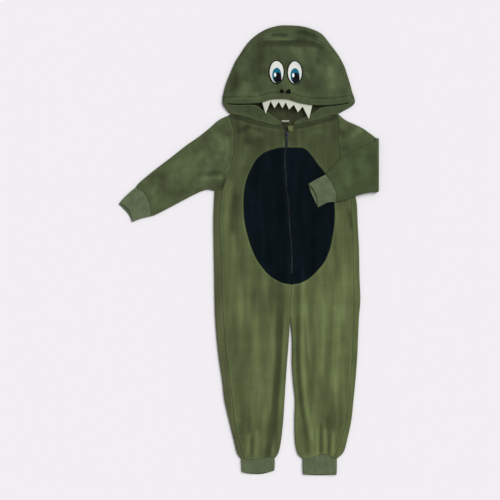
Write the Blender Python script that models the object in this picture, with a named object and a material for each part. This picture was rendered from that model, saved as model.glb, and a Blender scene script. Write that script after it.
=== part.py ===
"""A child's hooded animal jumpsuit in velour fleece, zipped up and laid flat on its back with one sleeve folded
over the chest. The cloth is a wall worked out from the garment's cut: each panel is an outline in plan, which is
triangulated, raised to the height at which it lies, and given its thickness. Run it with
blender --background --python part.py."""

import math
from collections import namedtuple

import bpy
import numpy as np
from mathutils import Vector
from mathutils.geometry import delaunay_2d_cdt

# Sizes are in millimetres in the garment's own frame: x runs to the wearer's left, y from the crotch up to the hood
# and z up from the surface that the garment lies on.
MM = 0.001

# Cloth thicknesses, and the gap that stays between pieces at a seam.
FLEECE = 2.0
RIB = 2.0
HEM = 3.8
FELT = 1.5
PATCH = 1.0
TAPE = 0.6
SEAM_GAP = 0.5
FOLD_END_GAP = 0.4

# At its outline the laid garment turns over in a roll of this radius, so the upper layer tops out at twice that.
ROLL = 3.2
TOP = 2 * ROLL
ROLL_RING = 0.45 * ROLL

# How far apart the points of an edge and of a panel's inside are.
EDGE_STEP = 11.0
ACROSS_STEP = 10.0
ALONG_STEP = 25.0

Crease = namedtuple("Crease", "height width path")
Layer = namedtuple("Layer", "outline side loft wall across along")

# The outline of the laid garment, in stretches that run from the first point named to the last.
NECK_RIGHT = (-134.5, 482)
NECK_LEFT = (118, 482)
ARMHOLE_TOP_RIGHT = (-141.5, 478)
UNDERARM_RIGHT = (-172.5, 301)
UNDERARM_LEFT = (157, 296)
CROTCH = (4.5, 0)

HOOD_SIDE_RIGHT = [NECK_RIGHT, (-141, 486), (-147.5, 495), (-153.5, 505), (-154, 519), (-151, 533), (-146, 552),
                   (-138.5, 571), (-130.5, 590), (-121.5, 609), (-114, 620)]
HOOD_CROWN = [(-114, 620), (-96.5, 646), (-76, 666), (-51, 681), (-23, 689), (0, 690), (31, 688), (57, 681),
              (80, 669), (97, 648.5), (112, 629), (119, 619)]
HOOD_SIDE_LEFT = [(119, 619), (126, 607), (134, 590), (140, 571), (146, 552), (151, 533), (156, 519),
                  (157, 508), (150, 500), (140, 494), (127, 487), NECK_LEFT]
SLEEVE_TOP_RIGHT = [ARMHOLE_TOP_RIGHT, (-163, 467), (-186, 447), (-210, 428), (-240, 407), (-275, 379.5),
                    (-313, 350.5), (-348, 321.5), (-358, 309.5)]
SLEEVE_UNDER_RIGHT = [UNDERARM_RIGHT, (-188, 304), (-204, 300), (-224, 290.5), (-243, 280.5), (-277, 262.5),
                      (-310, 245.5), (-321, 241.5)]
SIDE_RIGHT = [UNDERARM_RIGHT, (-174, 270), (-175.3, 221), (-174, 139), (-172.5, 45), (-171, 0), (-167.3, -49),
              (-162, -96), (-155, -143), (-149.5, -190), (-139, -237), (-127.5, -284), (-120, -314), (-111, -328)]
SIDE_LEFT = [UNDERARM_LEFT, (162, 268), (164, 221), (167, 162), (168, 103), (170, 45), (167, 7), (165, -38),
             (163, -85), (159, -139), (154, -190), (149, -237), (140, -280), (131, -312), (115, -328)]
INNER_LEG_RIGHT = [CROTCH, (3, -31), (1, -63), (-2, -101), (-5, -143), (-8, -190), (-11, -237), (-16, -284),
                   (-22, -313), (-31, -328)]
INNER_LEG_LEFT = [CROTCH, (7, -25), (9, -45), (9, -78), (9, -110), (12, -150), (16, -190), (15, -237),
                  (16, -284), (22, -315), (34, -328)]

# Where seams show on the upper layer. The side seams lie in from the outline, because the back panels come round.
SIDE_SEAM_RIGHT = [(-155, 302), (-161, 244), (-158, 139), (-153, 21), (-146, -73), (-134, -167), (-122, -261),
                   (-103, -328)]
SIDE_SEAM_LEFT = [(146, 304), (149, 250), (151, 207), (153, 115), (154, 45), (151, -73), (143, -190), (129, -270),
                  (107, -328)]
ARMHOLE_RIGHT = [ARMHOLE_TOP_RIGHT, (-134, 463), (-128, 439), (-127, 397), (-139, 345), (-155, 302)]
ARMHOLE_LEFT = [NECK_LEFT, (118, 449), (121, 400), (128, 360), (138, 322), (146, 304)]
BACK_ARMHOLE_RIGHT = [ARMHOLE_TOP_RIGHT, (-136, 455), (-133, 415), (-138, 365), (-152, 320), UNDERARM_RIGHT]
BACK_ARMHOLE_LEFT = [NECK_LEFT, (114, 455), (112, 415), (117, 365), (132, 320), UNDERARM_LEFT]
CUFF_SEAM_RIGHT = [(-358, 309.5), (-342, 301), (-330, 284), (-323.5, 264), (-321, 241.5)]
NECK_SEAM_RIGHT = [NECK_RIGHT, (-102, 475), (-76, 466), (-52, 460), (-28, 455), (-15, 457)]
NECK_SEAM_LEFT = [NECK_LEFT, (94, 477), (75, 469), (58, 465), (34, 459), (12, 457)]
BACK_NECK = [NECK_RIGHT, (-89, 472), (-42, 466), (0, 464), (42, 466), (80, 474), NECK_LEFT]
CROWN_SEAM = [(-109, 616.5), (-98, 634), (-84, 648), (-56, 657), (-19, 659), (28, 659), (60, 656), (84, 647),
              (101, 634), (114, 615.5)]
BRIM = [(-142, 506), (-113, 505), (-85, 505.5), (-61, 508), (-43, 514), (-22, 515.8), (-2, 515.2), (12, 511.5),
        (25, 507.2), (38, 504.6), (56, 502), (89, 501.7), (118, 504), (142, 508)]
FLAP_EDGE_RIGHT = [(-142, 504), (-118, 502.6), (-94, 503), (-77, 502), (-67, 496.5), (-60, 490.5), (-46, 484),
                   (-31, 474), (-17, 464)]
FLAP_EDGE_LEFT = [(142, 506), (118, 501.8), (92, 499), (76, 496), (67, 490), (59, 484.5), (42, 476), (21, 467),
                  (14, 463)]

# The zip: the line of its chain from the slider down, and how the two fronts part above the slider.
ZIP_LINE = [(-3, 438), (-4, 407), (-7, 376), (-4, 324), (0, 283), (3, 249), (4, 221), (7, 190), (9.5, 150),
            (9, 112)]
ZIP_TO_CROTCH = [(9, 104), (8, 80), (6, 40), CROTCH]
PARTED_RIGHT = (-15, 457)
PARTED_LEFT = (12, 457)
TAPE_END_RIGHT = (-10.6, 454)
TAPE_END_LEFT = (5.0, 451)
CHANNEL_HALF = 2.6
CHAIN_HALF = 2.1
CHAIN_HEIGHT = 2.5
TAPE_HALF = 11.0

# The belly is an oval let into the two fronts, given by its edge on each side of the zip from the top down. It is
# a little flatter at the wearer's upper left.
BELLY_TOP = 403
BELLY_FOOT = 81
BELLY_RIM_RIGHT = [(-20, 402.5), (-46, 395), (-62, 386.5), (-75, 373.5), (-87, 353), (-97, 329), (-103, 302),
                   (-104.8, 262), (-102, 228), (-95, 196), (-84.3, 163), (-71, 136), (-50, 108.5), (-33, 95),
                   (-14, 85)]
BELLY_RIM_LEFT = [(14, 402.5), (36, 401), (51, 389), (70, 363), (84, 346), (98, 320), (107, 284), (109.5, 250),
                  (108, 220), (103.5, 190), (97.5, 163), (85.5, 135), (69, 114), (48, 94.5), (28, 84)]

# The folded sleeve is cut unfolded, out to the wearer's left, and turned back over this edge.
ELBOW_EDGE = 213.5
LAYER_GAP = 0.3
ELBOW_LEVEL = TOP + LAYER_GAP / 2
ELBOW_BEND = 3.3
ELBOW_STATIONS = 5
UPPER_ARM_TOP = [NECK_LEFT, (134, 468), (155, 458), (174, 449), (190, 438), (199, 431.5)]
UPPER_ARM_UNDER = [UNDERARM_LEFT, (176, 296), (196, 298)]
FOREARM_TOP = [(204, 417.5), (169, 400), (125, 378), (106, 360), (88, 339)]
FOREARM_UNDER = [(204, 297), (193, 297), (162, 290), (139, 281), (113, 275)]
FOREARM_CUFF_SEAM = [(88, 339), (102, 321), (112, 301), (113, 275)]
ELBOW_ENDS_Y = (425, 298)

# Rib cuffs, as the corners of each laid tube: the seam's two ends, then the mouth's.
WRIST_RIGHT_SIDES = ([(-358, 309.5), (-372, 297.5), (-387, 283.5), (-397.5, 270)],
                     [(-321, 241.5), (-345, 236), (-365.5, 228)])
WRIST_RIGHT_MOUTH = [(-397.5, 270), (-386, 258), (-375.5, 246.5), (-365.5, 228)]
WRIST_RIGHT_LIP = [(-397.5, 270), (-383, 265.5), (-372, 252), (-365.5, 228)]
WRIST_LEFT_SIDES = ([(88, 339), (66, 328), (47, 317)], [(113, 275), (92, 273), (70, 262)])
WRIST_LEFT_MOUTH = [(47, 317), (53, 299), (61, 281), (70, 262)]
WRIST_LEFT_LIP = [(47, 317), (61, 302), (68, 284), (70, 262)]
ANKLE_RIGHT_SIDES = ([(-111, -328), (-110, -343), (-109, -359)], [(-31, -328), (-31, -342), (-32, -356)])
ANKLE_RIGHT_MOUTH = [(-109, -359), (-89, -367), (-61, -367), (-32, -356)]
ANKLE_RIGHT_LIP = [(-109, -359), (-89, -361), (-61, -360), (-32, -356)]
ANKLE_LEFT_SIDES = ([(34, -328), (34, -347), (35, -365)], [(115, -328), (115, -347), (114, -366)])
ANKLE_LEFT_MOUTH = [(35, -365), (60, -367), (88, -367), (114, -366)]
ANKLE_LEFT_LIP = [(35, -365), (60, -362), (88, -362), (114, -366)]
# The curved ends of the legs, from the side seam to the inner leg or back, which the ankle cuffs are sewn to.
LEG_HEM_RIGHT = [SIDE_SEAM_RIGHT[-1], (-84, -330.5), (-62, -329), (-44, -324.5), INNER_LEG_RIGHT[-1]]
LEG_HEM_LEFT = [INNER_LEG_LEFT[-1], (50, -327), (66, -321.5), (84, -318), (98, -322), SIDE_SEAM_LEFT[-1]]

# Lofts: how far the upper layer stands above the roll, or sinks between the outlines.
BODY_SINK = 1.1
BODY_SINK_REACH = 25.0
LOWEST_TOP = 5.2
SLEEVE_PUFF = 0.6
PUFF_REACH = 28.0
HOOD_LOFT = 21.0
HOOD_REACH = 42.0
HOOD_FLAP_LEVEL = 462.0
HOOD_BRIM_LEVEL = 520.0
HEM_DEPTH = 16.0
HEM_EASE = 5.0

BODY_CREASES = [
    Crease(2.3, 7, [(-133, 335), (-142, 285), (-152, 225)]),
    Crease(-0.9, 7, [(-120, 300), (-128, 240), (-132, 190)]),
    Crease(1.5, 11, [(-118, 120), (-112, 20), (-104, -110)]),
    Crease(1.6, 10, [(-84, 60), (-78, -60), (-74, -190), (-78, -260)]),
    Crease(1.4, 9, [(-52, 30), (-50, -80), (-52, -200)]),
    Crease(1.9, 6, [(-22, 60), (-19, -40), (-24, -170), (-30, -280)]),
    Crease(2.5, 7, [(33, 70), (36, -24), (34, -78), (38, -186), (49, -275), (60, -322)]),
    Crease(1.5, 10, [(72, 90), (78, -20), (76, -140)]),
    Crease(1.6, 11, [(112, 120), (112, 0), (106, -130), (100, -220)]),
    Crease(1.3, 9, [(134, 170), (132, 60), (128, -40)]),
    Crease(1.6, 8, [(-100, 455), (-70, 436), (-40, 428)]),
    Crease(1.3, 8, [(36, 440), (66, 446), (92, 452)]),
    Crease(1.4, 9, [(-96, 420), (-102, 380), (-112, 350)]),
]
GATHER_CREASES = [
    Crease(1.8, 5.5, [(-92, -262), (-95, -330)]),
    Crease(2.1, 6.0, [(-71, -250), (-74, -330)]),
    Crease(1.7, 5.5, [(-55, -268), (-53, -330)]),
    Crease(1.6, 6.0, [(-41, -245), (-37, -330)]),
    Crease(1.8, 5.0, [(52, -262), (48, -330)]),
    Crease(2.3, 5.5, [(68, -245), (66, -330)]),
    Crease(2.4, 5.0, [(84, -240), (81, -330)]),
    Crease(1.6, 5.5, [(97, -255), (98, -330)]),
]
SLEEVE_CREASES = [
    Crease(1.0, 9, [(-180, 420), (-214, 372), (-226, 330)]),
    Crease(1.0, 10, [(-160, 396), (-188, 350), (-196, 318)]),
    Crease(0.9, 9, [(-250, 380), (-276, 330), (-280, 290)]),
    Crease(1.0, 7, [(-306, 338), (-316, 300), (-312, 262)]),
]
FOREARM_CREASES = [
    Crease(1.0, 10, [(182, 396), (168, 350), (172, 306)]),
    Crease(0.9, 9, [(144, 378), (140, 330), (146, 292)]),
]
HOOD_CREASES = [
    Crease(-5.0, 9, [(-84, 640), (-40, 648), (10, 648), (60, 644), (92, 630)]),
    Crease(3.0, 12, [(-96, 560), (-104, 530), (-108, 508)]),
    Crease(2.6, 14, [(70, 600), (84, 560), (92, 520)]),
    Crease(-2.6, 15, [(0, 628), (6, 600), (4, 566)]),
]

# The face on the hood: two oval eyes, and a strip of felt teeth under the brim.
EYE_HALF_WIDTH = 17.5
EYE_HALF_HEIGHT = 28.0
EYES = {"eye_right": (-26.8, 579), "eye_left": (15.8, 578)}
EYE_POINTS = 24
TEETH = [(-61, 509), (-53, 481), (-41, 506), (-32, 494), (-23, 508), (-13, 495), (-5, 507), (2, 492), (13, 501),
         (23, 485), (34, 496), (49, 469), (57, 503)]
TEETH_TUCK = 6.0
TEETH_DROOP = 0.12

# The slider is a moulded body with a bridge, on which the pull tab hinges.
SLIDER_AT = (-3.4, 434)
SLIDER_TOP = 7.0
PLATE = (8.4, 11.0, 1.4)
POST_HALF = 0.8
POST_LENGTH = 2.4
BRIDGE_WIDTH = 2.0
BRIDGE_SPAN = 5.6
BRIDGE_RISE = 3.2
BRIDGE_BAR = 1.0
PIVOT_RISE = 1.2
PULL_WIDTH = 5.6
PULL_LENGTH = 23.0
PULL_THICK = 1.2
PULL_EYE = (3.0, 4.2)
PULL_BAR = 1.2
PULL_TIP_HALF = 1.9
PULL_TILT = math.radians(-2.6)

# Small pieces at the neck: a folded guard on the left front beside the zip's top end, and a plain woven tab behind.
GUARD = [(1.5, 441), (12, 441), (12, 454), (-1.5, 454)]
GUARD_WALL = 1.2
LABEL_CENTRE = (-6, 465)
LABEL_SIZE = (18, 4.4)
LABEL_WALL = 0.8

COLOURS = {
    "fleece": (0.085, 0.105, 0.045, 1),
    "belly": (0.005, 0.009, 0.013, 1),
    "rib": (0.11, 0.14, 0.075, 1),
    "felt": (0.55, 0.58, 0.48, 1),
    "patch": (0.75, 0.76, 0.76, 1),
    "zip": (0.006, 0.009, 0.015, 1),
    "label": (0.5, 0.5, 0.46, 1),
}
ROUGHNESS = {"zip": 0.4, "patch": 0.6}


def smooth_step(t):
    """0 below 0, 1 above 1 and an eased rise between."""
    t = np.clip(t, 0, 1)
    return t * t * (3 - 2 * t)


def run(points, step=EDGE_STEP):
    """Points about step apart on a smooth curve through the given ones."""
    p = np.array(points, float)
    if len(p) == 2:
        p = np.array([p[0], p.mean(0), p[1]])
    ends = np.vstack([2 * p[0] - p[1], p, 2 * p[-1] - p[-2]])
    fine = []
    for a, b, c, d in zip(ends, ends[1:], ends[2:], ends[3:]):
        t = np.linspace(0, 1, 12, endpoint=False)[:, None]
        fine.append(0.5 * (2 * b + (c - a) * t + (2 * a - 5 * b + 4 * c - d) * t**2
                           + (3 * b - a - 3 * c + d) * t**3))
    fine = np.vstack([*fine, p[-1:]])
    along = np.concatenate([[0], np.cumsum(np.linalg.norm(np.diff(fine, axis=0), axis=1))])
    at = np.linspace(0, along[-1], max(2, round(along[-1] / step)) + 1)
    return np.stack([np.interp(at, along, fine[:, k]) for k in (0, 1)], axis=1)


def joined(*runs):
    """One outline from runs that follow each other, with each shared end kept once."""
    points = [runs[0][0]]
    for p in np.vstack(runs):
        if np.linalg.norm(p - points[-1]) > 1e-6:
            points.append(p)
    if np.linalg.norm(points[0] - points[-1]) < 1e-6:
        points.pop()
    return np.array(points)


def nearest_on(points, lines):
    """Each point's distance to the nearest of the lines, and the unit direction inward there, away from the line.
    Cloth lies left of a line."""
    best = np.full(len(points), np.inf)
    inward = np.zeros((len(points), 2))
    for line in lines:
        edge = np.diff(line, axis=0)
        normal = np.stack([-edge[:, 1], edge[:, 0]], axis=1)
        normal /= np.linalg.norm(normal, axis=1)[:, None]
        corner = np.vstack([normal[:1], normal[:-1] + normal[1:], normal[-1:]])
        corner /= np.linalg.norm(corner, axis=1)[:, None]
        for i, (start, step) in enumerate(zip(line, edge)):
            t = np.clip((points - start) @ step / (step @ step), 0, 1)[:, None]
            off = points - start - t * step
            away = np.linalg.norm(off, axis=1)
            closer = away < best
            best[closer] = away[closer]
            on_line = (corner[i] * (1 - t) + corner[i + 1] * t)[closer]
            inward[closer] = np.where(away[closer, None] < 0.1, on_line, off[closer])
    return best, inward / np.linalg.norm(inward, axis=1)[:, None]


def crease_height(points, creases):
    """The height that a table of creases adds at each point. A crease fades out towards both its ends."""
    total = np.zeros(len(points))
    for crease in creases:
        line = run(crease.path, 12)
        edge = np.diff(line, axis=0)
        best = np.full(len(points), np.inf)
        share = np.zeros(len(points))
        for i, (start, step) in enumerate(zip(line, edge)):
            t = np.clip((points - start) @ step / (step @ step), 0, 1)
            away = np.linalg.norm(points - start - t[:, None] * step, axis=1)
            closer = away < best
            best[closer] = away[closer]
            share[closer] = ((i + t) / len(edge))[closer]
        fade = smooth_step(4 * share) * smooth_step(4 * (1 - share))
        total += crease.height * np.exp(-((best / crease.width) ** 2)) * fade
    return total


LEG_END_RIGHT = joined(run([SIDE_RIGHT[-1], SIDE_SEAM_RIGHT[-1]]), run(LEG_HEM_RIGHT))
LEG_END_LEFT = joined(run(LEG_HEM_LEFT), run([SIDE_SEAM_LEFT[-1], SIDE_LEFT[-1]]))

# The lines at which the laid cloth rolls over, each with the cloth to its left. They run round the garment from one
# open end to the next, past every seam, so that pieces that meet on a fold are rolled alike.
OUTLINE = [
    joined(run(WRIST_RIGHT_SIDES[1])[::-1], run(SLEEVE_UNDER_RIGHT)[::-1], run(SIDE_RIGHT),
           run(ANKLE_RIGHT_SIDES[0])),
    joined(run(ANKLE_RIGHT_SIDES[1])[::-1], run(INNER_LEG_RIGHT)[::-1], run(INNER_LEG_LEFT),
           run(ANKLE_LEFT_SIDES[0])),
    joined(run(ANKLE_LEFT_SIDES[1])[::-1], run(SIDE_LEFT)[::-1], run(UPPER_ARM_UNDER)),
    joined(run(UPPER_ARM_TOP)[::-1], run(HOOD_SIDE_LEFT)[::-1], run(HOOD_CROWN)[::-1], run(HOOD_SIDE_RIGHT)[::-1],
           run([NECK_RIGHT, ARMHOLE_TOP_RIGHT]), run(SLEEVE_TOP_RIGHT), run(WRIST_RIGHT_SIDES[0])),
]


def forearm_cover(p):
    """1 where the folded forearm lies on the chest, which it presses flat, and 0 away from it."""
    across = smooth_step((p[:, 0] - 30) / 25)
    along = smooth_step((p[:, 1] - 245) / 20) * smooth_step((430 - p[:, 1]) / 20)
    return across * along


def body_loft(p, s):
    """The height of the fronts above the roll: they sink between the outlines, and carry the creases."""
    sink = -BODY_SINK * (1 - np.exp(-s / BODY_SINK_REACH))
    rise = crease_height(p, BODY_CREASES + GATHER_CREASES) * smooth_step(s / 12)
    loft = sink + rise * (1 - forearm_cover(p))
    return np.maximum(loft, LOWEST_TOP - TOP)


def sleeve_loft(p, s):
    """The height of the outstretched sleeve, which fills out away from the armhole and flattens at the cuff."""
    from_body = smooth_step((-140 - p[:, 0]) / 60)
    to_cuff = smooth_step((p[:, 0] + 335) / 60)
    puff = SLEEVE_PUFF * (1 - np.exp(-s / PUFF_REACH)) * from_body * to_cuff
    sink = -BODY_SINK * (1 - np.exp(-s / BODY_SINK_REACH)) * (1 - from_body)
    return puff + sink + crease_height(p, SLEEVE_CREASES) * smooth_step(s / 12)


def hood_loft(p, s):
    """The height of the hood's face, a low dome that comes down to the neck seam."""
    to_brim = smooth_step((p[:, 1] - HOOD_FLAP_LEVEL) / (HOOD_BRIM_LEVEL - HOOD_FLAP_LEVEL))
    dome = HOOD_LOFT * (1 - np.exp(-s / HOOD_REACH)) * to_brim
    at_neck = -BODY_SINK * (1 - np.exp(-s / BODY_SINK_REACH)) * (1 - to_brim)
    return dome + at_neck + crease_height(p, HOOD_CREASES) * smooth_step(s / 12)


def flat(p, s):
    return np.zeros(len(p))


FACE_EDGES = [run(BRIM), run(FLAP_EDGE_RIGHT), run(FLAP_EDGE_LEFT)]


def hood_wall(p):
    """The hood's wall is a turned hem along the face edge and one thickness of fleece behind it."""
    away, _ = nearest_on(p, FACE_EDGES)
    return FLEECE + (HEM - FLEECE) * smooth_step((HEM_DEPTH - away) / HEM_EASE)


def fold_edges(outline, folds):
    """Which edges of an outline lie along a fold line. Edge i runs from point i to the next."""
    if not folds:
        return np.zeros(len(outline), bool)
    after = np.roll(outline, -1, axis=0)
    ends_on = nearest_on(outline, folds)[0] < 0.05
    return ends_on & np.roll(ends_on, -1) & (nearest_on((outline + after) / 2, folds)[0] < 0.6)


def set_in(outline, folds, kept):
    """The outline (counter-clockwise) moved in for the gap at its seams. Folds stay where they are, and so do the
    kept points, at which another layer of the same piece carries on along the fold."""
    on_fold = fold_edges(outline, folds)
    step = np.roll(outline, -1, axis=0) - outline
    step /= np.linalg.norm(step, axis=1)[:, None]
    normal = np.stack([-step[:, 1], step[:, 0]], axis=1)
    moved = outline.copy()
    for i in range(len(outline)):
        before, after = normal[i - 1], normal[i]
        if on_fold[i - 1] != on_fold[i]:
            if not len(kept) or np.linalg.norm(kept - outline[i], axis=1).min() > 0.01:
                moved[i] += FOLD_END_GAP * (step[i] if on_fold[i] else -step[i - 1])
        elif not on_fold[i]:
            middle = before + after
            moved[i] += SEAM_GAP * middle / max(middle @ middle, 0.5)
    return moved


def seam_ends(outline, folds):
    """The points of an outline where a seam leaves a fold, each with the direction in which the seam goes."""
    on_fold = fold_edges(outline, folds)
    ends = []
    for i, point in enumerate(outline):
        if on_fold[i - 1] != on_fold[i]:
            way = outline[(i + 1) % len(outline)] - point if on_fold[i - 1] else outline[i - 1] - point
            ends.append((point, way / np.linalg.norm(way)))
    return ends


def rounded_into(outline, folds):
    """The outline with more points where a seam runs up to a fold, so that it goes round the roll as the fold does."""
    on_fold = fold_edges(outline, folds)
    near = nearest_on(outline, folds)[0] < 2 * FOLD_END_GAP
    points = []
    for i, (start, end) in enumerate(zip(outline, np.roll(outline, -1, axis=0))):
        points.append(start)
        length = np.linalg.norm(end - start)
        if on_fold[i] or length < 3 * ROLL_RING:
            continue
        steps = ROLL_RING * (end - start) / length
        points += [start + steps] if near[i] else []
        points += [end - steps] if near[(i + 1) % len(outline)] else []
    return np.array(points)


def lattice(outline, across, along):
    """Points in staggered rows inside an outline, clear of its edge."""
    low, high = outline.min(0), outline.max(0)
    rows = np.arange(low[1] + along / 2, high[1], along)
    points = [(x, y) for i, y in enumerate(rows)
              for x in np.arange(low[0] + across * (0.5 + 0.5 * (i % 2)), high[0], across)]
    points = np.array(points).reshape(-1, 2)
    after = np.roll(outline, -1, axis=0)
    crossings = np.zeros(len(points), int)
    for (x0, y0), (x1, y1) in zip(outline, after):
        spans = (points[:, 1] < y0) != (points[:, 1] < y1)
        with np.errstate(divide="ignore", invalid="ignore"):
            meets = x0 + (points[:, 1] - y0) / (y1 - y0) * (x1 - x0)
        crossings += spans & (points[:, 0] < meets)
    inside = points[crossings % 2 == 1]
    if not len(inside):
        return inside
    away, _ = nearest_on(inside, [np.vstack([outline, outline[:1]])])
    return inside[away > 0.6 * min(across, along)]


def triangulated(outline, inner):
    """(points, triangles) of the outline with the inner points in it."""
    given = np.vstack([outline, inner])
    made = delaunay_2d_cdt([Vector(p) for p in given], [], [list(range(len(outline)))], 1, 1e-5)
    return given[[sources[0] for sources in made[3]]], np.array(made[2])


def layer_points(layer, folds, extra=()):
    """(outer, inner, triangles) of one layer of cloth, laid with its outer face up on top or down beneath. extra is
    an array of points in columns, for a bend across the layer."""
    inner_points = lattice(layer.outline, layer.across, layer.along)
    near, inward = nearest_on(layer.outline, folds)
    ring = layer.outline[near < 0.05] + inward[near < 0.05] * ROLL_RING
    if len(ring):
        ring = ring[nearest_on(ring, [np.vstack([layer.outline, layer.outline[:1]])])[0] > 0.7 * ROLL_RING]
    for columns in extra:
        middle, half = (columns[:, 0].min() + columns[:, 0].max()) / 2, np.ptp(columns[:, 0]) / 2
        inner_points = inner_points[np.abs(inner_points[:, 0] - middle) > half + ROLL]
        ring = ring[np.abs(ring[:, 0] - middle) > half + 0.5]
    p, triangles = triangulated(layer.outline, np.vstack([inner_points, ring, *extra]))
    s, inward = nearest_on(p, folds)
    for end, way in seam_ends(layer.outline, folds):
        inward[np.linalg.norm(p - end, axis=1).argmin()] = way
    ease = 1 - np.minimum(s, ROLL) / ROLL
    rise = np.sqrt(1 - ease**2)
    sign = -1 if layer.side == "under" else 1
    z = ROLL + sign * (ROLL * rise + layer.loft(p, s))
    if layer.side == "edge":
        z = np.maximum(z, ROLL + SEAM_GAP)
    wall = layer.wall(p) if callable(layer.wall) else np.full(len(p), layer.wall)
    if callable(layer.wall):
        wall = np.clip(z - FLEECE - LAYER_GAP, FLEECE, wall)
    outer = np.column_stack([p, z])
    into = np.column_stack([inward * ease[:, None], -sign * rise])
    inner = outer + wall[:, None] * into
    return outer, inner, triangles[:, ::-1] if sign < 0 else triangles


def wall_mesh(outer, inner, triangles):
    """(points, faces) of the closed wall between an outer and an inner skin, with its open edges closed by rims."""
    keys, index = np.unique(np.round(outer, 2), axis=0, return_inverse=True)
    index = index.reshape(-1)
    first = np.zeros(len(keys), int)
    first[index[::-1]] = np.arange(len(outer))[::-1]
    outer, inner, triangles = outer[first], inner[first], index[triangles]
    count = len(outer)
    edges = {(a, b) for t in triangles for a, b in zip(t, np.roll(t, -1))}
    rims = [(b, a, a + count, b + count) for a, b in edges if (b, a) not in edges]
    faces = [tuple(t) for t in triangles] + [tuple(t[::-1] + count) for t in triangles] + rims
    return np.vstack([outer, inner]), faces


def cloth_material(name):
    material = bpy.data.materials.new(name)
    material.use_nodes = True
    shader = material.node_tree.nodes["Principled BSDF"]
    shader.inputs["Base Color"].default_value = COLOURS[name]
    shader.inputs["Roughness"].default_value = ROUGHNESS.get(name, 0.9)
    return material


def add_piece(name, points, faces, material, smooth=True):
    """A named mesh object in the garment's frame, with its points given in millimetres."""
    mesh = bpy.data.meshes.new(name)
    mesh.from_pydata([tuple(c * MM for c in p) for p in points], [], [tuple(int(i) for i in f) for f in faces])
    mesh.materials.append(material)
    if smooth:
        mesh.shade_smooth()
        mesh.set_sharp_from_angle(angle=math.radians(40))
    piece = bpy.data.objects.new(name, mesh)
    bpy.context.scene.collection.objects.link(piece)
    return piece


def add_cloth(name, layers, material, folds=OUTLINE, bend=None, extra=()):
    """A cloth piece from its layers, upper one first, which are welded where one rolls over into the next. It is bent
    last if a bend is given."""
    outer, inner, triangles, count = [], [], [], 0
    along = [fold_edges(layer.outline, folds) for layer in layers]
    kept = np.vstack([layer.outline[on & np.roll(on, 1)] for layer, on in zip(layers, along)])
    for layer in layers:
        fitted = layer._replace(outline=rounded_into(set_in(layer.outline, folds, kept), folds))
        o, i, t = layer_points(fitted, folds, extra)
        outer.append(o)
        inner.append(i)
        triangles.append(t + count)
        count += len(o)
    points, faces = wall_mesh(np.vstack(outer), np.vstack(inner), np.vstack(triangles))
    return add_piece(name, bend(points) if bend else points, faces, material)


def cloth(outline, side, loft=flat, wall=FLEECE, across=ACROSS_STEP, along=ALONG_STEP):
    return Layer(outline, side, loft, wall, across, along)


def front_edge(side):
    """The centre edge of one front from the neck to the crotch. side is -1 for the wearer's right."""
    zip_run = run(ZIP_LINE, ALONG_STEP)
    lower = run(ZIP_TO_CROTCH, ALONG_STEP)
    top = PARTED_RIGHT if side < 0 else PARTED_LEFT
    return joined(np.array([top], float), zip_run + [side * CHANNEL_HALF, 0], lower)


def at_level(edge, level):
    """The point of a downward edge at a level."""
    order = np.argsort(edge[:, 1])
    return np.array([np.interp(level, edge[order, 1], edge[order, 0]), level])


def split_edge(side):
    """The centre edge of one front in three stretches: above the belly, beside it and below it."""
    edge = front_edge(side)
    high, low = at_level(edge, BELLY_TOP), at_level(edge, BELLY_FOOT)
    above = np.vstack([edge[edge[:, 1] > BELLY_TOP + 3], high])
    beside = np.vstack([high, edge[(edge[:, 1] < BELLY_TOP - 3) & (edge[:, 1] > BELLY_FOOT + 3)], low])
    below = np.vstack([low, edge[edge[:, 1] < BELLY_FOOT - 3]])
    return above, beside, below


def belly_rim(side):
    """The oval's edge on one side of the zip, from its top down."""
    _, beside, _ = split_edge(side)
    rim = run(BELLY_RIM_RIGHT if side < 0 else BELLY_RIM_LEFT)
    return np.vstack([beside[:1], rim, beside[-1:]])


def build_fronts(fleece, belly):
    """Two green fronts, each from neck to ankle, with the dark halves of the belly let into them."""
    above, beside, below = split_edge(-1)
    rim = belly_rim(-1)
    outline = joined(run(NECK_SEAM_RIGHT)[::-1], run([NECK_RIGHT, ARMHOLE_TOP_RIGHT]), run(ARMHOLE_RIGHT),
                     run(SIDE_SEAM_RIGHT), run(LEG_HEM_RIGHT),
                     run(INNER_LEG_RIGHT)[::-1], below[::-1], rim[::-1], above[::-1])
    add_cloth("front_right", [cloth(outline, "edge", body_loft)], fleece)
    add_cloth("belly_right", [cloth(joined(rim, beside[::-1]), "edge", body_loft)], belly)

    above, beside, below = split_edge(1)
    rim = belly_rim(1)
    outline = joined(above, rim, below, run(INNER_LEG_LEFT), run(LEG_HEM_LEFT),
                     run(SIDE_SEAM_LEFT)[::-1], run(ARMHOLE_LEFT)[::-1], run(NECK_SEAM_LEFT))
    add_cloth("front_left", [cloth(outline, "edge", body_loft)], fleece)
    add_cloth("belly_left", [cloth(joined(beside, rim[::-1]), "edge", body_loft)], belly)


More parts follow.
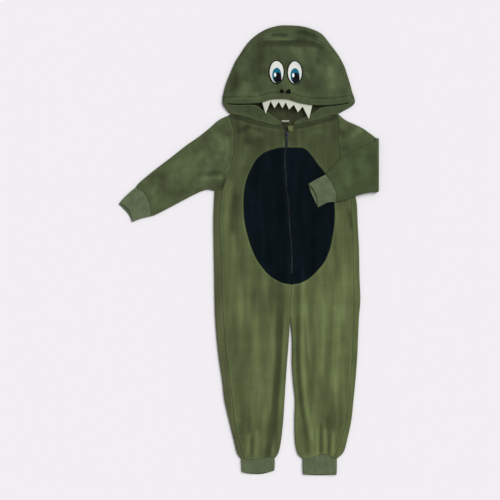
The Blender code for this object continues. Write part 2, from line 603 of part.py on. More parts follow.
def build_backs(fleece):
    """Two backs that meet at a centre seam. Each comes round its side on to the upper layer, as far as the seam."""
    neck = run(BACK_NECK)
    centre = run([(BACK_NECK[3][0], BACK_NECK[3][1]), CROTCH], ALONG_STEP * 2)
    middle = len(neck) // 2
    neck[middle] = BACK_NECK[3]
    under = joined(neck[: middle + 1][::-1], run([NECK_RIGHT, ARMHOLE_TOP_RIGHT]), run(BACK_ARMHOLE_RIGHT),
                   run(SIDE_RIGHT), LEG_END_RIGHT, run(INNER_LEG_RIGHT)[::-1],
                   centre[::-1])
    strip = joined(run([SIDE_SEAM_RIGHT[0], UNDERARM_RIGHT]), run(SIDE_RIGHT),
                   run([SIDE_RIGHT[-1], SIDE_SEAM_RIGHT[-1]]), run(SIDE_SEAM_RIGHT)[::-1])
    add_cloth("back_right", [cloth(strip, "top", body_loft), cloth(under, "under", across=45, along=60)], fleece)

    under = joined(centre, run(INNER_LEG_LEFT), LEG_END_LEFT, run(SIDE_LEFT)[::-1],
                   run(BACK_ARMHOLE_LEFT)[::-1], neck[middle:][::-1])
    strip = joined(run(SIDE_SEAM_LEFT), run([SIDE_SEAM_LEFT[-1], SIDE_LEFT[-1]]), run(SIDE_LEFT)[::-1],
                   run([UNDERARM_LEFT, SIDE_SEAM_LEFT[0]]))
    add_cloth("back_left", [cloth(strip, "top", body_loft), cloth(under, "under", across=45, along=60)], fleece)


def build_right_sleeve(fleece):
    """One piece, folded along its upper edge and closed by the underarm seam, laid out from the shoulder."""
    to_underarm = run([SIDE_SEAM_RIGHT[0], UNDERARM_RIGHT])
    ends = (run(SLEEVE_TOP_RIGHT), run(CUFF_SEAM_RIGHT), run(SLEEVE_UNDER_RIGHT)[::-1])
    top = joined(*ends, to_underarm[::-1], run(ARMHOLE_RIGHT)[::-1])
    under = joined(*ends, run(BACK_ARMHOLE_RIGHT)[::-1])
    add_cloth("sleeve_right", [cloth(top, "top", sleeve_loft, across=14, along=14),
                               cloth(under, "under", across=30, along=30)], fleece)


def elbow_bend(points):
    """The unfolded sleeve's points turned back over the elbow edge, upper arm beneath and forearm on top."""
    start = ELBOW_EDGE - ELBOW_LEVEL
    length = math.pi * ELBOW_BEND
    past = points[:, 0] - start
    angle = np.clip(past, 0, length) / ELBOW_BEND
    radius = ELBOW_LEVEL - points[:, 2]
    x = start + np.minimum(past, 0) + radius * np.sin(angle) - np.maximum(past - length, 0)
    return np.column_stack([x, points[:, 1], ELBOW_LEVEL - radius * np.cos(angle)])


def unfolded(points):
    """Points of the laid forearm where they lie before the sleeve is turned back."""
    mirror = ELBOW_EDGE - ELBOW_LEVEL + math.pi * ELBOW_BEND / 2
    p = np.array(points, float)
    return np.column_stack([2 * mirror - p[:, 0], p[:, 1]])


def forearm_loft(p, s):
    """The lower layer of the unfolded sleeve is the forearm's upper face once it is turned back."""
    past = smooth_step((p[:, 0] - ELBOW_EDGE - 8) / 30)
    laid = unfolded(p)
    to_cuff = smooth_step((laid[:, 0] - 100) / 40)
    puff = SLEEVE_PUFF * (1 - np.exp(-s / PUFF_REACH)) * to_cuff
    return past * (puff + crease_height(laid, FOREARM_CREASES) * smooth_step(s / 12))


def left_sleeve_edges():
    """(under edge, top edge, fold lines) of the unfolded sleeve, from the body to the cuff seam."""
    stations = ELBOW_EDGE - ELBOW_LEVEL + np.linspace(0, math.pi * ELBOW_BEND, ELBOW_STATIONS)
    top_y, under_y = ELBOW_ENDS_Y
    under = joined(run(UPPER_ARM_UNDER), np.column_stack([stations, np.full(ELBOW_STATIONS, under_y)]),
                   run(unfolded(FOREARM_UNDER)))
    top = joined(run(UPPER_ARM_TOP), np.column_stack([stations, np.full(ELBOW_STATIONS, top_y)]),
                 run(unfolded(FOREARM_TOP)))
    folds = [joined(run(SIDE_LEFT)[::-1], under, run(unfolded(WRIST_LEFT_SIDES[1]))),
             joined(run(unfolded(WRIST_LEFT_SIDES[0]))[::-1], top[::-1], run(HOOD_SIDE_LEFT)[::-1])]
    return under, top, folds, stations


def build_left_sleeve(fleece):
    """The same sleeve on the other side, turned back at the elbow so that the forearm lies across the chest."""
    under_edge, top_edge, folds, stations = left_sleeve_edges()
    cuff_seam = run(unfolded(FOREARM_CUFF_SEAM))
    rows = np.concatenate([[ELBOW_ENDS_Y[1] + ROLL_RING], np.arange(ELBOW_ENDS_Y[1] + 11, ELBOW_ENDS_Y[0] - 8, 13),
                           [ELBOW_ENDS_Y[0] - ROLL_RING]])
    columns = np.array([(x, y) for x in stations for y in rows])
    top = joined(under_edge, cuff_seam[::-1], top_edge[::-1], run(ARMHOLE_LEFT),
                 run([SIDE_SEAM_LEFT[0], UNDERARM_LEFT]))
    under = joined(under_edge, cuff_seam[::-1], top_edge[::-1], run(BACK_ARMHOLE_LEFT))
    add_cloth("sleeve_left", [cloth(top, "top", across=22, along=22),
                              cloth(under, "under", forearm_loft, across=16, along=16)],
              fleece, folds=folds, bend=elbow_bend, extra=[columns])


def cuff_layers(sides, seam, mouth, lip, lip_side):
    """The two layers of a laid cuff, from its seam to its mouth. The layer on lip_side stops short at the lip."""
    back, front = ("under", "top") if lip_side == "top" else ("top", "under")
    return [cloth(joined(sides[0], run(edge), sides[1][::-1], seam[::-1]), side, wall=RIB)
            for edge, side in [(mouth, back), (lip, front)]]


def build_cuffs(rib):
    """Four tubes of doubled rib. At the wrists the layer that is uppermost stops short, so the mouth shows."""
    for name, ends, seam, mouth, lip in [
        ("wrist_cuff_right", WRIST_RIGHT_SIDES, run(CUFF_SEAM_RIGHT), WRIST_RIGHT_MOUTH, WRIST_RIGHT_LIP),
        ("ankle_cuff_right", ANKLE_RIGHT_SIDES, LEG_END_RIGHT, ANKLE_RIGHT_MOUTH, ANKLE_RIGHT_LIP),
        ("ankle_cuff_left", ANKLE_LEFT_SIDES, LEG_END_LEFT, ANKLE_LEFT_MOUTH, ANKLE_LEFT_LIP),
    ]:
        sides = run(ends[0]), run(ends[1])
        add_cloth(name, cuff_layers(sides, seam, mouth, lip, "top"), rib)
    _, _, folds, _ = left_sleeve_edges()
    sides = run(unfolded(WRIST_LEFT_SIDES[1])), run(unfolded(WRIST_LEFT_SIDES[0]))
    layers = cuff_layers(sides, run(unfolded(FOREARM_CUFF_SEAM))[::-1], unfolded(WRIST_LEFT_MOUTH)[::-1],
                         unfolded(WRIST_LEFT_LIP)[::-1], "under")
    add_cloth("wrist_cuff_left", layers, rib, folds=folds, bend=elbow_bend)


def hood_outlines():
    """(face, crown strip, back) outlines of the hood in plan."""
    side_right, side_left = run(HOOD_SIDE_RIGHT), run(HOOD_SIDE_LEFT)
    crown = run(HOOD_CROWN)
    seam = joined(run([HOOD_CROWN[0], CROWN_SEAM[0]]), run(CROWN_SEAM), run([CROWN_SEAM[-1], HOOD_CROWN[-1]]))
    face = joined(side_left[::-1], seam[::-1], side_right[::-1], run(NECK_SEAM_RIGHT), run(FLAP_EDGE_RIGHT)[::-1],
                  run(BRIM), run(FLAP_EDGE_LEFT), run(NECK_SEAM_LEFT)[::-1])
    strip = joined(seam, crown[::-1])
    back = joined(run(BACK_NECK), side_left[::-1], crown[::-1], side_right[::-1])
    return face, strip, back


def build_hood(fleece):
    """A face panel from one side of the neck over the head to the other, and a back that rolls over the crown."""
    face, strip, back = hood_outlines()
    add_cloth("hood_face", [cloth(face, "edge", hood_loft, wall=hood_wall, across=15, along=15)], fleece)
    add_cloth("hood_back", [cloth(strip, "top", hood_loft, across=14, along=14),
                            cloth(back, "under", across=45, along=45)], fleece)


def on_hood(points):
    """The height of the hood's outer face at each point."""
    s, _ = nearest_on(points, OUTLINE)
    ease = 1 - np.minimum(s, ROLL) / ROLL
    return ROLL + ROLL * np.sqrt(1 - ease**2) + hood_loft(points, s)


def add_raised(name, outline, under, wall, material, across):
    """A flat piece of cloth whose lower face follows the height function under."""
    p, triangles = triangulated(outline, lattice(outline, across, across))
    low = under(p)
    outer, inner = np.column_stack([p, low + wall]), np.column_stack([p, low])
    points, faces = wall_mesh(outer, inner, triangles)
    return add_piece(name, points, faces, material)


def build_eyes(patch):
    """Two oval embroidered patches on the hood's face."""
    angle = np.linspace(0, 2 * math.pi, EYE_POINTS, endpoint=False)
    for name, (x, y) in EYES.items():
        oval = np.column_stack([x + EYE_HALF_WIDTH * np.cos(angle), y + EYE_HALF_HEIGHT * np.sin(angle)])
        add_raised(name, oval, lambda p: on_hood(p) + LAYER_GAP + 0.5, PATCH, patch, 9)


def build_teeth(felt):
    """One strip of felt, tucked up under the brim's hem and cut into six teeth."""
    brim = run(BRIM)

    def under_brim(p):
        edge_y = np.interp(p[:, 0], brim[:, 0], brim[:, 1])
        below = np.maximum(edge_y - p[:, 1], 0)
        held = np.column_stack([p[:, 0], np.maximum(p[:, 1], edge_y + 1)])
        return on_hood(held) - HEM - LAYER_GAP - 0.6 - FELT - TEETH_DROOP * below

    zigzag = np.array(TEETH, float)
    tucked = np.array([(x, np.interp(x, brim[:, 0], brim[:, 1]) + TEETH_TUCK)
                       for x in np.linspace(zigzag[-1, 0], zigzag[0, 0], 10)])
    add_raised("teeth_strip", np.vstack([zigzag, tucked]), under_brim, FELT, felt, 7)


def zip_half(side):
    """Points and faces of one half of the zip: a flat tape, with its half of the chain along its inner edge."""
    line = np.vstack([[(TAPE_END_RIGHT if side < 0 else TAPE_END_LEFT)], run(ZIP_LINE, ALONG_STEP)])
    level = FLEECE + LAYER_GAP
    gap = SEAM_GAP / 2
    profile = [(gap, level), (TAPE_HALF, level), (TAPE_HALF, level + TAPE), (CHAIN_HALF, level + TAPE),
               (CHAIN_HALF, level + TAPE + CHAIN_HEIGHT), (gap, level + TAPE + CHAIN_HEIGHT)]
    if side > 0:
        profile = profile[::-1]
    points = []
    for x, y in line:
        points += [(x + side * across, y, z) for across, z in profile]
    count = len(profile)
    faces = [tuple(range(count)), tuple(range(len(points) - 1, len(points) - count - 1, -1))]
    for ring in range(len(line) - 1):
        for k in range(count):
            a, b = ring * count + k, ring * count + (k + 1) % count
            faces.append((a, a + count, b + count, b))
    return points, faces


def box(low, high):
    """Points and faces of a plain block, for shapes that a Boolean joins or cuts."""
    (x0, y0, z0), (x1, y1, z1) = low, high
    points = [(x, y, z) for z in (z0, z1) for y in (y0, y1) for x in (x0, x1)]
    faces = [(0, 2, 3, 1), (4, 5, 7, 6), (0, 1, 5, 4), (2, 6, 7, 3), (0, 4, 6, 2), (1, 3, 7, 5)]
    return points, faces


def add_boolean(target, other, operation):
    """A live Boolean against a helper, which is hidden from the render."""
    other.hide_render = True
    other.display_type = "WIRE"
    modifier = target.modifiers.new(other.name, "BOOLEAN")
    modifier.object = other
    modifier.operation = operation
    modifier.solver = "EXACT"


def build_zip(zip_material):
    """The zip's two halves, the slider with its bridge, and the pull tab that hinges on the bridge."""
    for name, side in [("zip_right", -1), ("zip_left", 1)]:
        points, faces = zip_half(side)
        add_piece(name, points, faces, zip_material, smooth=False)

    x, y = SLIDER_AT
    width, length, thick = PLATE
    plate_top = SLIDER_TOP + thick
    slider = add_piece("zip_slider", *box((x - width / 2, y - length / 2, SLIDER_TOP),
                                          (x + width / 2, y + length / 2, plate_top)), zip_material, smooth=False)
    bevel = slider.modifiers.new("rounded", "BEVEL")
    bevel.width = 0.5 * MM
    bevel.segments = 2
    arch_top = plate_top + BRIDGE_RISE
    arch = add_piece("bridge", *box((x - BRIDGE_WIDTH / 2, y - BRIDGE_SPAN / 2, plate_top - 0.5),
                                    (x + BRIDGE_WIDTH / 2, y + BRIDGE_SPAN / 2, arch_top)), zip_material)
    hollow = add_piece("bridge_hollow", *box((x - BRIDGE_WIDTH, y - BRIDGE_SPAN / 2 + BRIDGE_BAR, plate_top + 0.01),
                                             (x + BRIDGE_WIDTH, y + BRIDGE_SPAN / 2 - BRIDGE_BAR,
                                              arch_top - BRIDGE_BAR)), zip_material)
    post = add_piece("post", *box((x - POST_HALF, y + length / 2 - POST_LENGTH, SLIDER_TOP - 1.1),
                                  (x + POST_HALF, y + length / 2 - 0.6, SLIDER_TOP + 0.5)), zip_material)
    add_boolean(slider, arch, "UNION")
    add_boolean(slider, hollow, "DIFFERENCE")
    add_boolean(slider, post, "UNION")

    pivot = bpy.data.objects.new("pull_pivot", None)
    pivot.location = (x * MM, y * MM, (plate_top + PIVOT_RISE) * MM)
    pivot.rotation_euler = (-PULL_TILT, 0, 0)
    bpy.context.scene.collection.objects.link(pivot)
    half_eye, eye_length = PULL_EYE[0] / 2, PULL_EYE[1]
    head = PULL_BAR / 2
    tip = -(PULL_LENGTH - head)
    outline = [(-PULL_WIDTH / 2, head), (-PULL_TIP_HALF, tip + 1.4), (-PULL_TIP_HALF + 1.0, tip),
               (PULL_TIP_HALF - 1.0, tip), (PULL_TIP_HALF, tip + 1.4), (PULL_WIDTH / 2, head)]
    count = len(outline)
    points = [(px, py, z) for z in (-PULL_THICK / 2, PULL_THICK / 2) for px, py in outline]
    faces = [tuple(range(count))[::-1], tuple(range(count, 2 * count))]
    faces += [(k, (k + 1) % count, (k + 1) % count + count, k + count) for k in range(count)]
    pull = add_piece("zip_pull", points, faces, zip_material, smooth=False)
    eye = add_piece("pull_eye", *box((-half_eye, -head - eye_length, -PULL_THICK),
                                     (half_eye, -head, PULL_THICK)), zip_material)
    for piece in (pull, eye):
        piece.parent = pivot
    add_boolean(pull, eye, "DIFFERENCE")
    return pivot


def build_neck_pieces(fleece, label):
    """The folded guard at the zip's top end, and the plain woven tab at the back neck."""
    add_raised("zip_guard", np.array(GUARD, float), lambda p: np.full(len(p), TOP - BODY_SINK + 2 * LAYER_GAP),
               GUARD_WALL, fleece, 9)
    (x, y), (width, height) = LABEL_CENTRE, LABEL_SIZE
    corners = [(x - width / 2, y - height / 2), (x + width / 2, y - height / 2),
               (x + width / 2, y + height / 2), (x - width / 2, y + height / 2)]
    add_raised("neck_label", np.array(corners, float), lambda p: np.full(len(p), FLEECE + LAYER_GAP), LABEL_WALL,
               label, 9)


def centre_footprint(pieces):
    """Moves the whole garment so that the centre of its footprint is at the origin."""
    garment = bpy.data.objects.new("garment", None)
    bpy.context.scene.collection.objects.link(garment)
    points = np.array([v.co[:2] for piece in pieces if piece.type == "MESH" and piece.parent is None
                       for v in piece.data.vertices])
    low, high = points.min(0), points.max(0)
    garment.location = (-(low[0] + high[0]) / 2, -(low[1] + high[1]) / 2, 0)
    for piece in pieces:
        if piece.parent is None:
            piece.parent = garment


def main():
    for obj in list(bpy.data.objects):
        bpy.data.objects.remove(obj)
    materials = {name: cloth_material(name) for name in COLOURS}
    build_backs(materials["fleece"])
    build_fronts(materials["fleece"], materials["belly"])
    build_right_sleeve(materials["fleece"])
    build_left_sleeve(materials["fleece"])
    build_cuffs(materials["rib"])
    build_hood(materials["fleece"])
    build_eyes(materials["patch"])
    build_teeth(materials["felt"])
    build_zip(materials["zip"])
    build_neck_pieces(materials["fleece"], materials["label"])
    centre_footprint([o for o in bpy.data.objects])


main()
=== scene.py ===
"""The looks of a child's hooded animal jumpsuit in velour fleece, zipped up and laid flat on its back with one sleeve
folded over the chest. Each cloth piece is a fine wall worked out from its cut, laid where the frame has its solid."""

import math
from collections import namedtuple

import bpy
import numpy as np
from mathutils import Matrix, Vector, noise
from mathutils.geometry import delaunay_2d_cdt


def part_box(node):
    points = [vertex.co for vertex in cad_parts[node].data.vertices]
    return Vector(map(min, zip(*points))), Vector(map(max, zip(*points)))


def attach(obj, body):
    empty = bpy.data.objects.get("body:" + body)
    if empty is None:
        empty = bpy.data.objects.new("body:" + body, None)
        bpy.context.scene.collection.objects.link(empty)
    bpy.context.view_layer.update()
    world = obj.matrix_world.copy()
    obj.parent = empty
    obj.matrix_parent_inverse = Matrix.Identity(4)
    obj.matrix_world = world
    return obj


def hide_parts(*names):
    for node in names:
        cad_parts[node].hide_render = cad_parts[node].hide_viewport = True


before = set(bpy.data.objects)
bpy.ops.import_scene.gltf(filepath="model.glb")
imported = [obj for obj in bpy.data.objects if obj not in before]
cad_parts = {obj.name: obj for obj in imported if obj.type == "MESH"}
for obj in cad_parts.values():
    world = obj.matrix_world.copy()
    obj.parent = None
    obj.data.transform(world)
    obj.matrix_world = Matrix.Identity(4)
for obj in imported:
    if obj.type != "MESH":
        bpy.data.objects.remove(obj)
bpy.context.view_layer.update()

# The garment's own frame, in millimetres: x runs to the wearer's left, y from the crotch to the hood and z up. The
# slider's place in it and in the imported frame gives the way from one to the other.
MM = 0.001
SLIDER_AT = (-3.4, 434)
slider_low, slider_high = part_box("zip_slider")
ORIGIN = (slider_low + slider_high) / 2 - Vector((*SLIDER_AT, 0)) * MM
ORIGIN.z = 0

# Backs. Two panels of velour fleece meet at the centre back seam. They come round both sides on to the upper layer,
# as far as the side seams, so the garment turns over in a soft roll along its whole outline.
FLEECE = 2.0
ROLL = 3.2
TOP = 2 * ROLL
SEAM_GAP = 0.12
FOLD_END_GAP = 0.1
SEAM_ROUND = 1.1
EDGE_STEP = 4.0
FINE = 3.4
ROUGH = 12.0
ROLL_ROWS = (0.35, 1.1, 2.1, 3.3)

Crease = namedtuple("Crease", "height width path")
Panel = namedtuple("Panel", "outline side height wall spacing")

NECK_RIGHT = (-134.5, 482)
NECK_LEFT = (118, 482)
ARMHOLE_TOP_RIGHT = (-141.5, 478)
UNDERARM_RIGHT = (-172.5, 301)
UNDERARM_LEFT = (157, 296)
CROTCH = (4.5, 0)
HOOD_SIDE_RIGHT = [NECK_RIGHT, (-141, 486), (-147.5, 495), (-153.5, 505), (-154, 519), (-151, 533), (-146, 552),
                   (-138.5, 571), (-130.5, 590), (-121.5, 609), (-114, 620)]
HOOD_CROWN = [(-114, 620), (-96.5, 646), (-76, 666), (-51, 681), (-23, 689), (0, 690), (31, 688), (57, 681),
              (80, 669), (97, 648.5), (112, 629), (119, 619)]
HOOD_SIDE_LEFT = [(119, 619), (126, 607), (134, 590), (140, 571), (146, 552), (151, 533), (156, 519),
                  (157, 508), (150, 500), (140, 494), (127, 487), NECK_LEFT]
SLEEVE_TOP_RIGHT = [ARMHOLE_TOP_RIGHT, (-163, 467), (-186, 447), (-210, 428), (-240, 407), (-275, 379.5),
                    (-313, 350.5), (-348, 321.5), (-358, 309.5)]
SLEEVE_UNDER_RIGHT = [UNDERARM_RIGHT, (-188, 304), (-204, 300), (-224, 290.5), (-243, 280.5), (-277, 262.5),
                      (-310, 245.5), (-321, 241.5)]
SIDE_RIGHT = [UNDERARM_RIGHT, (-174, 270), (-175.3, 221), (-174, 139), (-172.5, 45), (-171, 0), (-167.3, -49),
              (-162, -96), (-155, -143), (-149.5, -190), (-139, -237), (-127.5, -284), (-120, -314), (-111, -328)]
SIDE_LEFT = [UNDERARM_LEFT, (162, 268), (164, 221), (167, 162), (168, 103), (170, 45), (167, 7), (165, -38),
             (163, -85), (159, -139), (154, -190), (149, -237), (140, -280), (131, -312), (115, -328)]
INNER_LEG_RIGHT = [CROTCH, (3, -31), (1, -63), (-2, -101), (-5, -143), (-8, -190), (-11, -237), (-16, -284),
                   (-22, -313), (-31, -328)]
INNER_LEG_LEFT = [CROTCH, (7, -25), (9, -45), (9, -78), (9, -110), (12, -150), (16, -190), (15, -237),
                  (16, -284), (22, -315), (34, -328)]
SIDE_SEAM_RIGHT = [(-155, 302), (-161, 244), (-158, 139), (-153, 21), (-146, -73), (-134, -167), (-122, -261),
                   (-103, -328)]
SIDE_SEAM_LEFT = [(146, 304), (149, 250), (151, 207), (153, 115), (154, 45), (151, -73), (143, -190), (129, -270),
                  (107, -328)]
ARMHOLE_RIGHT = [ARMHOLE_TOP_RIGHT, (-134, 463), (-128, 439), (-127, 397), (-139, 345), (-155, 302)]
ARMHOLE_LEFT = [NECK_LEFT, (118, 449), (121, 400), (128, 360), (138, 322), (146, 304)]
BACK_ARMHOLE_RIGHT = [ARMHOLE_TOP_RIGHT, (-136, 455), (-133, 415), (-138, 365), (-152, 320), UNDERARM_RIGHT]
BACK_ARMHOLE_LEFT = [NECK_LEFT, (114, 455), (112, 415), (117, 365), (132, 320), UNDERARM_LEFT]
BACK_NECK = [NECK_RIGHT, (-89, 472), (-42, 466), (0, 464), (42, 466), (80, 474), NECK_LEFT]
BACK_NECK_MIDDLE = BACK_NECK[3]
# The curved ends of the legs, from the side seam to the inner leg or back, which the ankle cuffs are sewn to.
LEG_HEM_RIGHT = [SIDE_SEAM_RIGHT[-1], (-84, -330.5), (-62, -329), (-44, -324.5), INNER_LEG_RIGHT[-1]]
LEG_HEM_LEFT = [INNER_LEG_LEFT[-1], (50, -327), (66, -321.5), (84, -318), (98, -322), SIDE_SEAM_LEFT[-1]]

# Rib cuffs, as the two sides of each laid tube from its seam to its mouth. They close the outline's stretches.
WRIST_RIGHT_SIDES = ([(-358, 309.5), (-372, 297.5), (-387, 283.5), (-397.5, 270)],
                     [(-321, 241.5), (-345, 236), (-365.5, 228)])
WRIST_LEFT_SIDES = ([(88, 339), (66, 328), (47, 317)], [(113, 275), (92, 273), (70, 262)])
ANKLE_RIGHT_SIDES = ([(-111, -328), (-110, -343), (-109, -359)], [(-31, -328), (-31, -342), (-32, -356)])
ANKLE_LEFT_SIDES = ([(34, -328), (34, -347), (35, -365)], [(115, -328), (115, -347), (114, -366)])
UPPER_ARM_TOP = [NECK_LEFT, (134, 468), (155, 458), (174, 449), (190, 438), (199, 431.5)]
UPPER_ARM_UNDER = [UNDERARM_LEFT, (176, 296), (196, 298)]

# How far the upper layer sinks between the outlines, and the creases that it carries.
BODY_SINK = 1.1
BODY_SINK_REACH = 25.0
LOWEST_TOP = 4.3
# Through the relief attribute the creases also darken the colour in their valleys and lighten it on their crests:
# painted shade and painted highlight.
BODY_CREASES = [
    Crease(2.8, 7, [(-133, 335), (-142, 285), (-152, 225)]),
    Crease(-2.0, 6, [(-120, 300), (-128, 240), (-132, 190)]),
    Crease(1.7, 11, [(-118, 120), (-112, 20), (-104, -110)]),
    Crease(1.8, 10, [(-84, 60), (-78, -60), (-74, -190), (-84, -280)]),
    Crease(-0.7, 9, [(-97, 30), (-94, -80), (-90, -190)]),
    Crease(1.8, 8, [(-42, 40), (-40, -80), (-46, -180), (-57, -250), (-62, -315)]),
    Crease(-3.4, 7, [(-22, 190), (-20, 90), (-19, 0), (-22, -80), (-26, -139), (-31, -207), (-39, -274),
                     (-50, -330), (-60, -420)]),
    Crease(1.6, 5, [(-8, 40), (-8, -40), (-14, -140), (-19, -240)]),
    Crease(3.8, 5.2, [(32, 190), (33, 80), (33, -24), (32, -78), (37, -170), (42, -215), (50, -262),
                      (58, -290), (67, -320), (80, -360)]),
    Crease(-2.0, 4.5, [(24, 30), (23, -50), (26, -140), (35, -226), (50, -300)]),
    Crease(2.0, 3.5, [(40, 60), (43, 10), (46, -40), (49, -80), (54, -130)]),
    Crease(-0.7, 8, [(56, 60), (60, -60), (60, -180)]),
    Crease(1.7, 10, [(76, 90), (80, -20), (78, -160)]),
    Crease(-0.7, 9, [(96, 60), (97, -60), (92, -190)]),
    Crease(1.8, 11, [(114, 120), (114, 0), (108, -130), (101, -220)]),
    Crease(1.3, 9, [(134, 170), (132, 60), (128, -40)]),
    Crease(-2.4, 4.5, [(140, 285), (144, 250), (149, 200)]),
    Crease(1.8, 7, [(-100, 450), (-82, 436), (-52, 430)]),
    Crease(-1.8, 6, [(-122, 436), (-104, 447), (-84, 452)]),
    Crease(1.6, 8, [(36, 432), (62, 438), (88, 446)]),
    Crease(-1.4, 7, [(-60, 418), (-84, 414), (-108, 420)]),
    Crease(1.6, 9, [(-96, 420), (-102, 380), (-112, 350)]),
    Crease(-3.4, 4.5, [(-158, 486), (-110, 471), (-70, 460), (-30, 451), (6, 447)]),
    Crease(-3.4, 4.5, [(-10, 446), (24, 451), (58, 459), (92, 468), (136, 486)]),
    Crease(1.5, 3.5, [(-130, 466), (-89, 456), (-58, 449), (-4, 442)]),
    Crease(1.3, 3.5, [(4, 441), (34, 446), (58, 451), (96, 462)]),
]
GATHER_CREASES = [
    Crease(2.0, 5.0, [(-92, -262), (-95, -330)]),
    Crease(2.3, 5.5, [(-74, -250), (-76, -330)]),
    Crease(-0.9, 4.0, [(-84, -270), (-86, -330)]),
    Crease(1.9, 5.5, [(-38, -245), (-37, -330)]),
    Crease(-1.2, 7.0, [(36, -240), (44, -330)]),
    Crease(2.4, 5.0, [(68, -245), (66, -330)]),
    Crease(-1.6, 3.5, [(77, -235), (78, -330)]),
    Crease(1.8, 4.5, [(86, -250), (84, -330)]),
    Crease(-2.8, 3.8, [(93, -215), (94, -252), (96, -294), (92, -345)]),
    Crease(1.8, 5.0, [(106, -255), (104, -330)]),
]
BODY_UNEVEN = [(1.2, 17, 150, 3.1), (0.7, 48, 90, 8.7), (0.5, 11, 60, 1.3)]
SEAM_LIFT = 0.5


def smooth_step(t):
    """0 below 0, 1 above 1 and an eased rise between."""
    t = np.clip(t, 0, 1)
    return t * t * (3 - 2 * t)


def distance_along(line):
    """How far along a line each of its points is."""
    return np.concatenate([[0], np.cumsum(np.linalg.norm(np.diff(line, axis=0), axis=1))])


def points_along(line, count):
    """That many points evenly along a line."""
    line = np.asarray(line, float)
    along = distance_along(line)
    at = np.linspace(0, along[-1], count)
    return np.stack([np.interp(at, along, line[:, k]) for k in range(line.shape[1])], axis=1)


def run(points, step=EDGE_STEP):
    """Points about step apart on a smooth curve through the given ones."""
    p = np.array(points, float)
    if len(p) == 2:
        p = np.array([p[0], p.mean(0), p[1]])
    ends = np.vstack([2 * p[0] - p[1], p, 2 * p[-1] - p[-2]])
    fine = []
    for a, b, c, d in zip(ends, ends[1:], ends[2:], ends[3:]):
        t = np.linspace(0, 1, 12, endpoint=False)[:, None]
        fine.append(0.5 * (2 * b + (c - a) * t + (2 * a - 5 * b + 4 * c - d) * t**2
                           + (3 * b - a - 3 * c + d) * t**3))
    fine = np.vstack([*fine, p[-1:]])
    return points_along(fine, max(2, round(distance_along(fine)[-1] / step)) + 1)


def joined(*runs):
    """One outline from runs that follow each other, with each shared end kept once."""
    points = [runs[0][0]]
    for p in np.vstack(runs):
        if np.linalg.norm(p - points[-1]) > 1e-6:
            points.append(p)
    if np.linalg.norm(points[0] - points[-1]) < 1e-6:
        points.pop()
    return np.array(points)


def closed(outline):
    """An outline with its first point again at the end."""
    return np.vstack([outline, outline[:1]])


def edge_ways(outline):
    """The unit direction of each edge of an outline, and its normal, which points inward."""
    step = np.roll(outline, -1, axis=0) - outline
    step /= np.linalg.norm(step, axis=1)[:, None]
    return step, np.stack([-step[:, 1], step[:, 0]], axis=1)


def nearest_on(points, lines):
    """Each point's distance to the nearest of the lines, and the unit direction away from it. Cloth lies left of a
    line, so on the line itself the direction is to its left."""
    best = np.full(len(points), np.inf)
    inward = np.zeros((len(points), 2))
    for line in lines:
        edge = np.diff(line, axis=0)
        normal = np.stack([-edge[:, 1], edge[:, 0]], axis=1)
        normal /= np.linalg.norm(normal, axis=1)[:, None]
        corner = np.vstack([normal[:1], normal[:-1] + normal[1:], normal[-1:]])
        corner /= np.linalg.norm(corner, axis=1)[:, None]
        for i, (start, step) in enumerate(zip(line, edge)):
            t = np.clip((points - start) @ step / (step @ step), 0, 1)[:, None]
            off = points - start - t * step
            away = np.linalg.norm(off, axis=1)
            closer = away < best
            best[closer] = away[closer]
            on_line = (corner[i] * (1 - t) + corner[i + 1] * t)[closer]
            inward[closer] = np.where(away[closer, None] < 0.1, on_line, off[closer])
    return best, inward / np.linalg.norm(inward, axis=1)[:, None]


def crease_height(points, creases):
    """The height that a table of creases adds at each point. A crease fades out towards both its ends."""
    total = np.zeros(len(points))
    for crease in creases:
        line = run(crease.path, 12)
        edge = np.diff(line, axis=0)
        best = np.full(len(points), np.inf)
        share = np.zeros(len(points))
        for i, (start, step) in enumerate(zip(line, edge)):
            t = np.clip((points - start) @ step / (step @ step), 0, 1)
            away = np.linalg.norm(points - start - t[:, None] * step, axis=1)
            closer = away < best
            best[closer] = away[closer]
            share[closer] = ((i + t) / len(edge))[closer]
        fade = smooth_step(4 * share) * smooth_step(4 * (1 - share))
        total += crease.height * np.exp(-((best / crease.width) ** 2)) * fade
    return total


def unevenness(p, table):
    """Smooth noise over the cloth. Each row of the table holds twice its height, the size of its patches across and
    along the garment in millimetres, and its seed."""
    return sum(height * np.array([noise.noise((x / across, y / along, seed)) for x, y in p])
               for height, across, along, seed in table)


LEG_END_RIGHT = joined(run([SIDE_RIGHT[-1], SIDE_SEAM_RIGHT[-1]]), run(LEG_HEM_RIGHT))
LEG_END_LEFT = joined(run(LEG_HEM_LEFT), run([SIDE_SEAM_LEFT[-1], SIDE_LEFT[-1]]))

# The lines at which the laid cloth rolls over, each with the cloth to its left. They run round the garment from one
# open end to the next, past every seam, so that pieces that meet on a fold are rolled alike.
OUTLINE = [
    joined(run(WRIST_RIGHT_SIDES[1])[::-1], run(SLEEVE_UNDER_RIGHT)[::-1], run(SIDE_RIGHT),
           run(ANKLE_RIGHT_SIDES[0])),
    joined(run(ANKLE_RIGHT_SIDES[1])[::-1], run(INNER_LEG_RIGHT)[::-1], run(INNER_LEG_LEFT),
           run(ANKLE_LEFT_SIDES[0])),
    joined(run(ANKLE_LEFT_SIDES[1])[::-1], run(SIDE_LEFT)[::-1], run(UPPER_ARM_UNDER)),
    joined(run(UPPER_ARM_TOP)[::-1], run(HOOD_SIDE_LEFT)[::-1], run(HOOD_CROWN)[::-1], run(HOOD_SIDE_RIGHT)[::-1],
           run([NECK_RIGHT, ARMHOLE_TOP_RIGHT]), run(SLEEVE_TOP_RIGHT), run(WRIST_RIGHT_SIDES[0])),
]


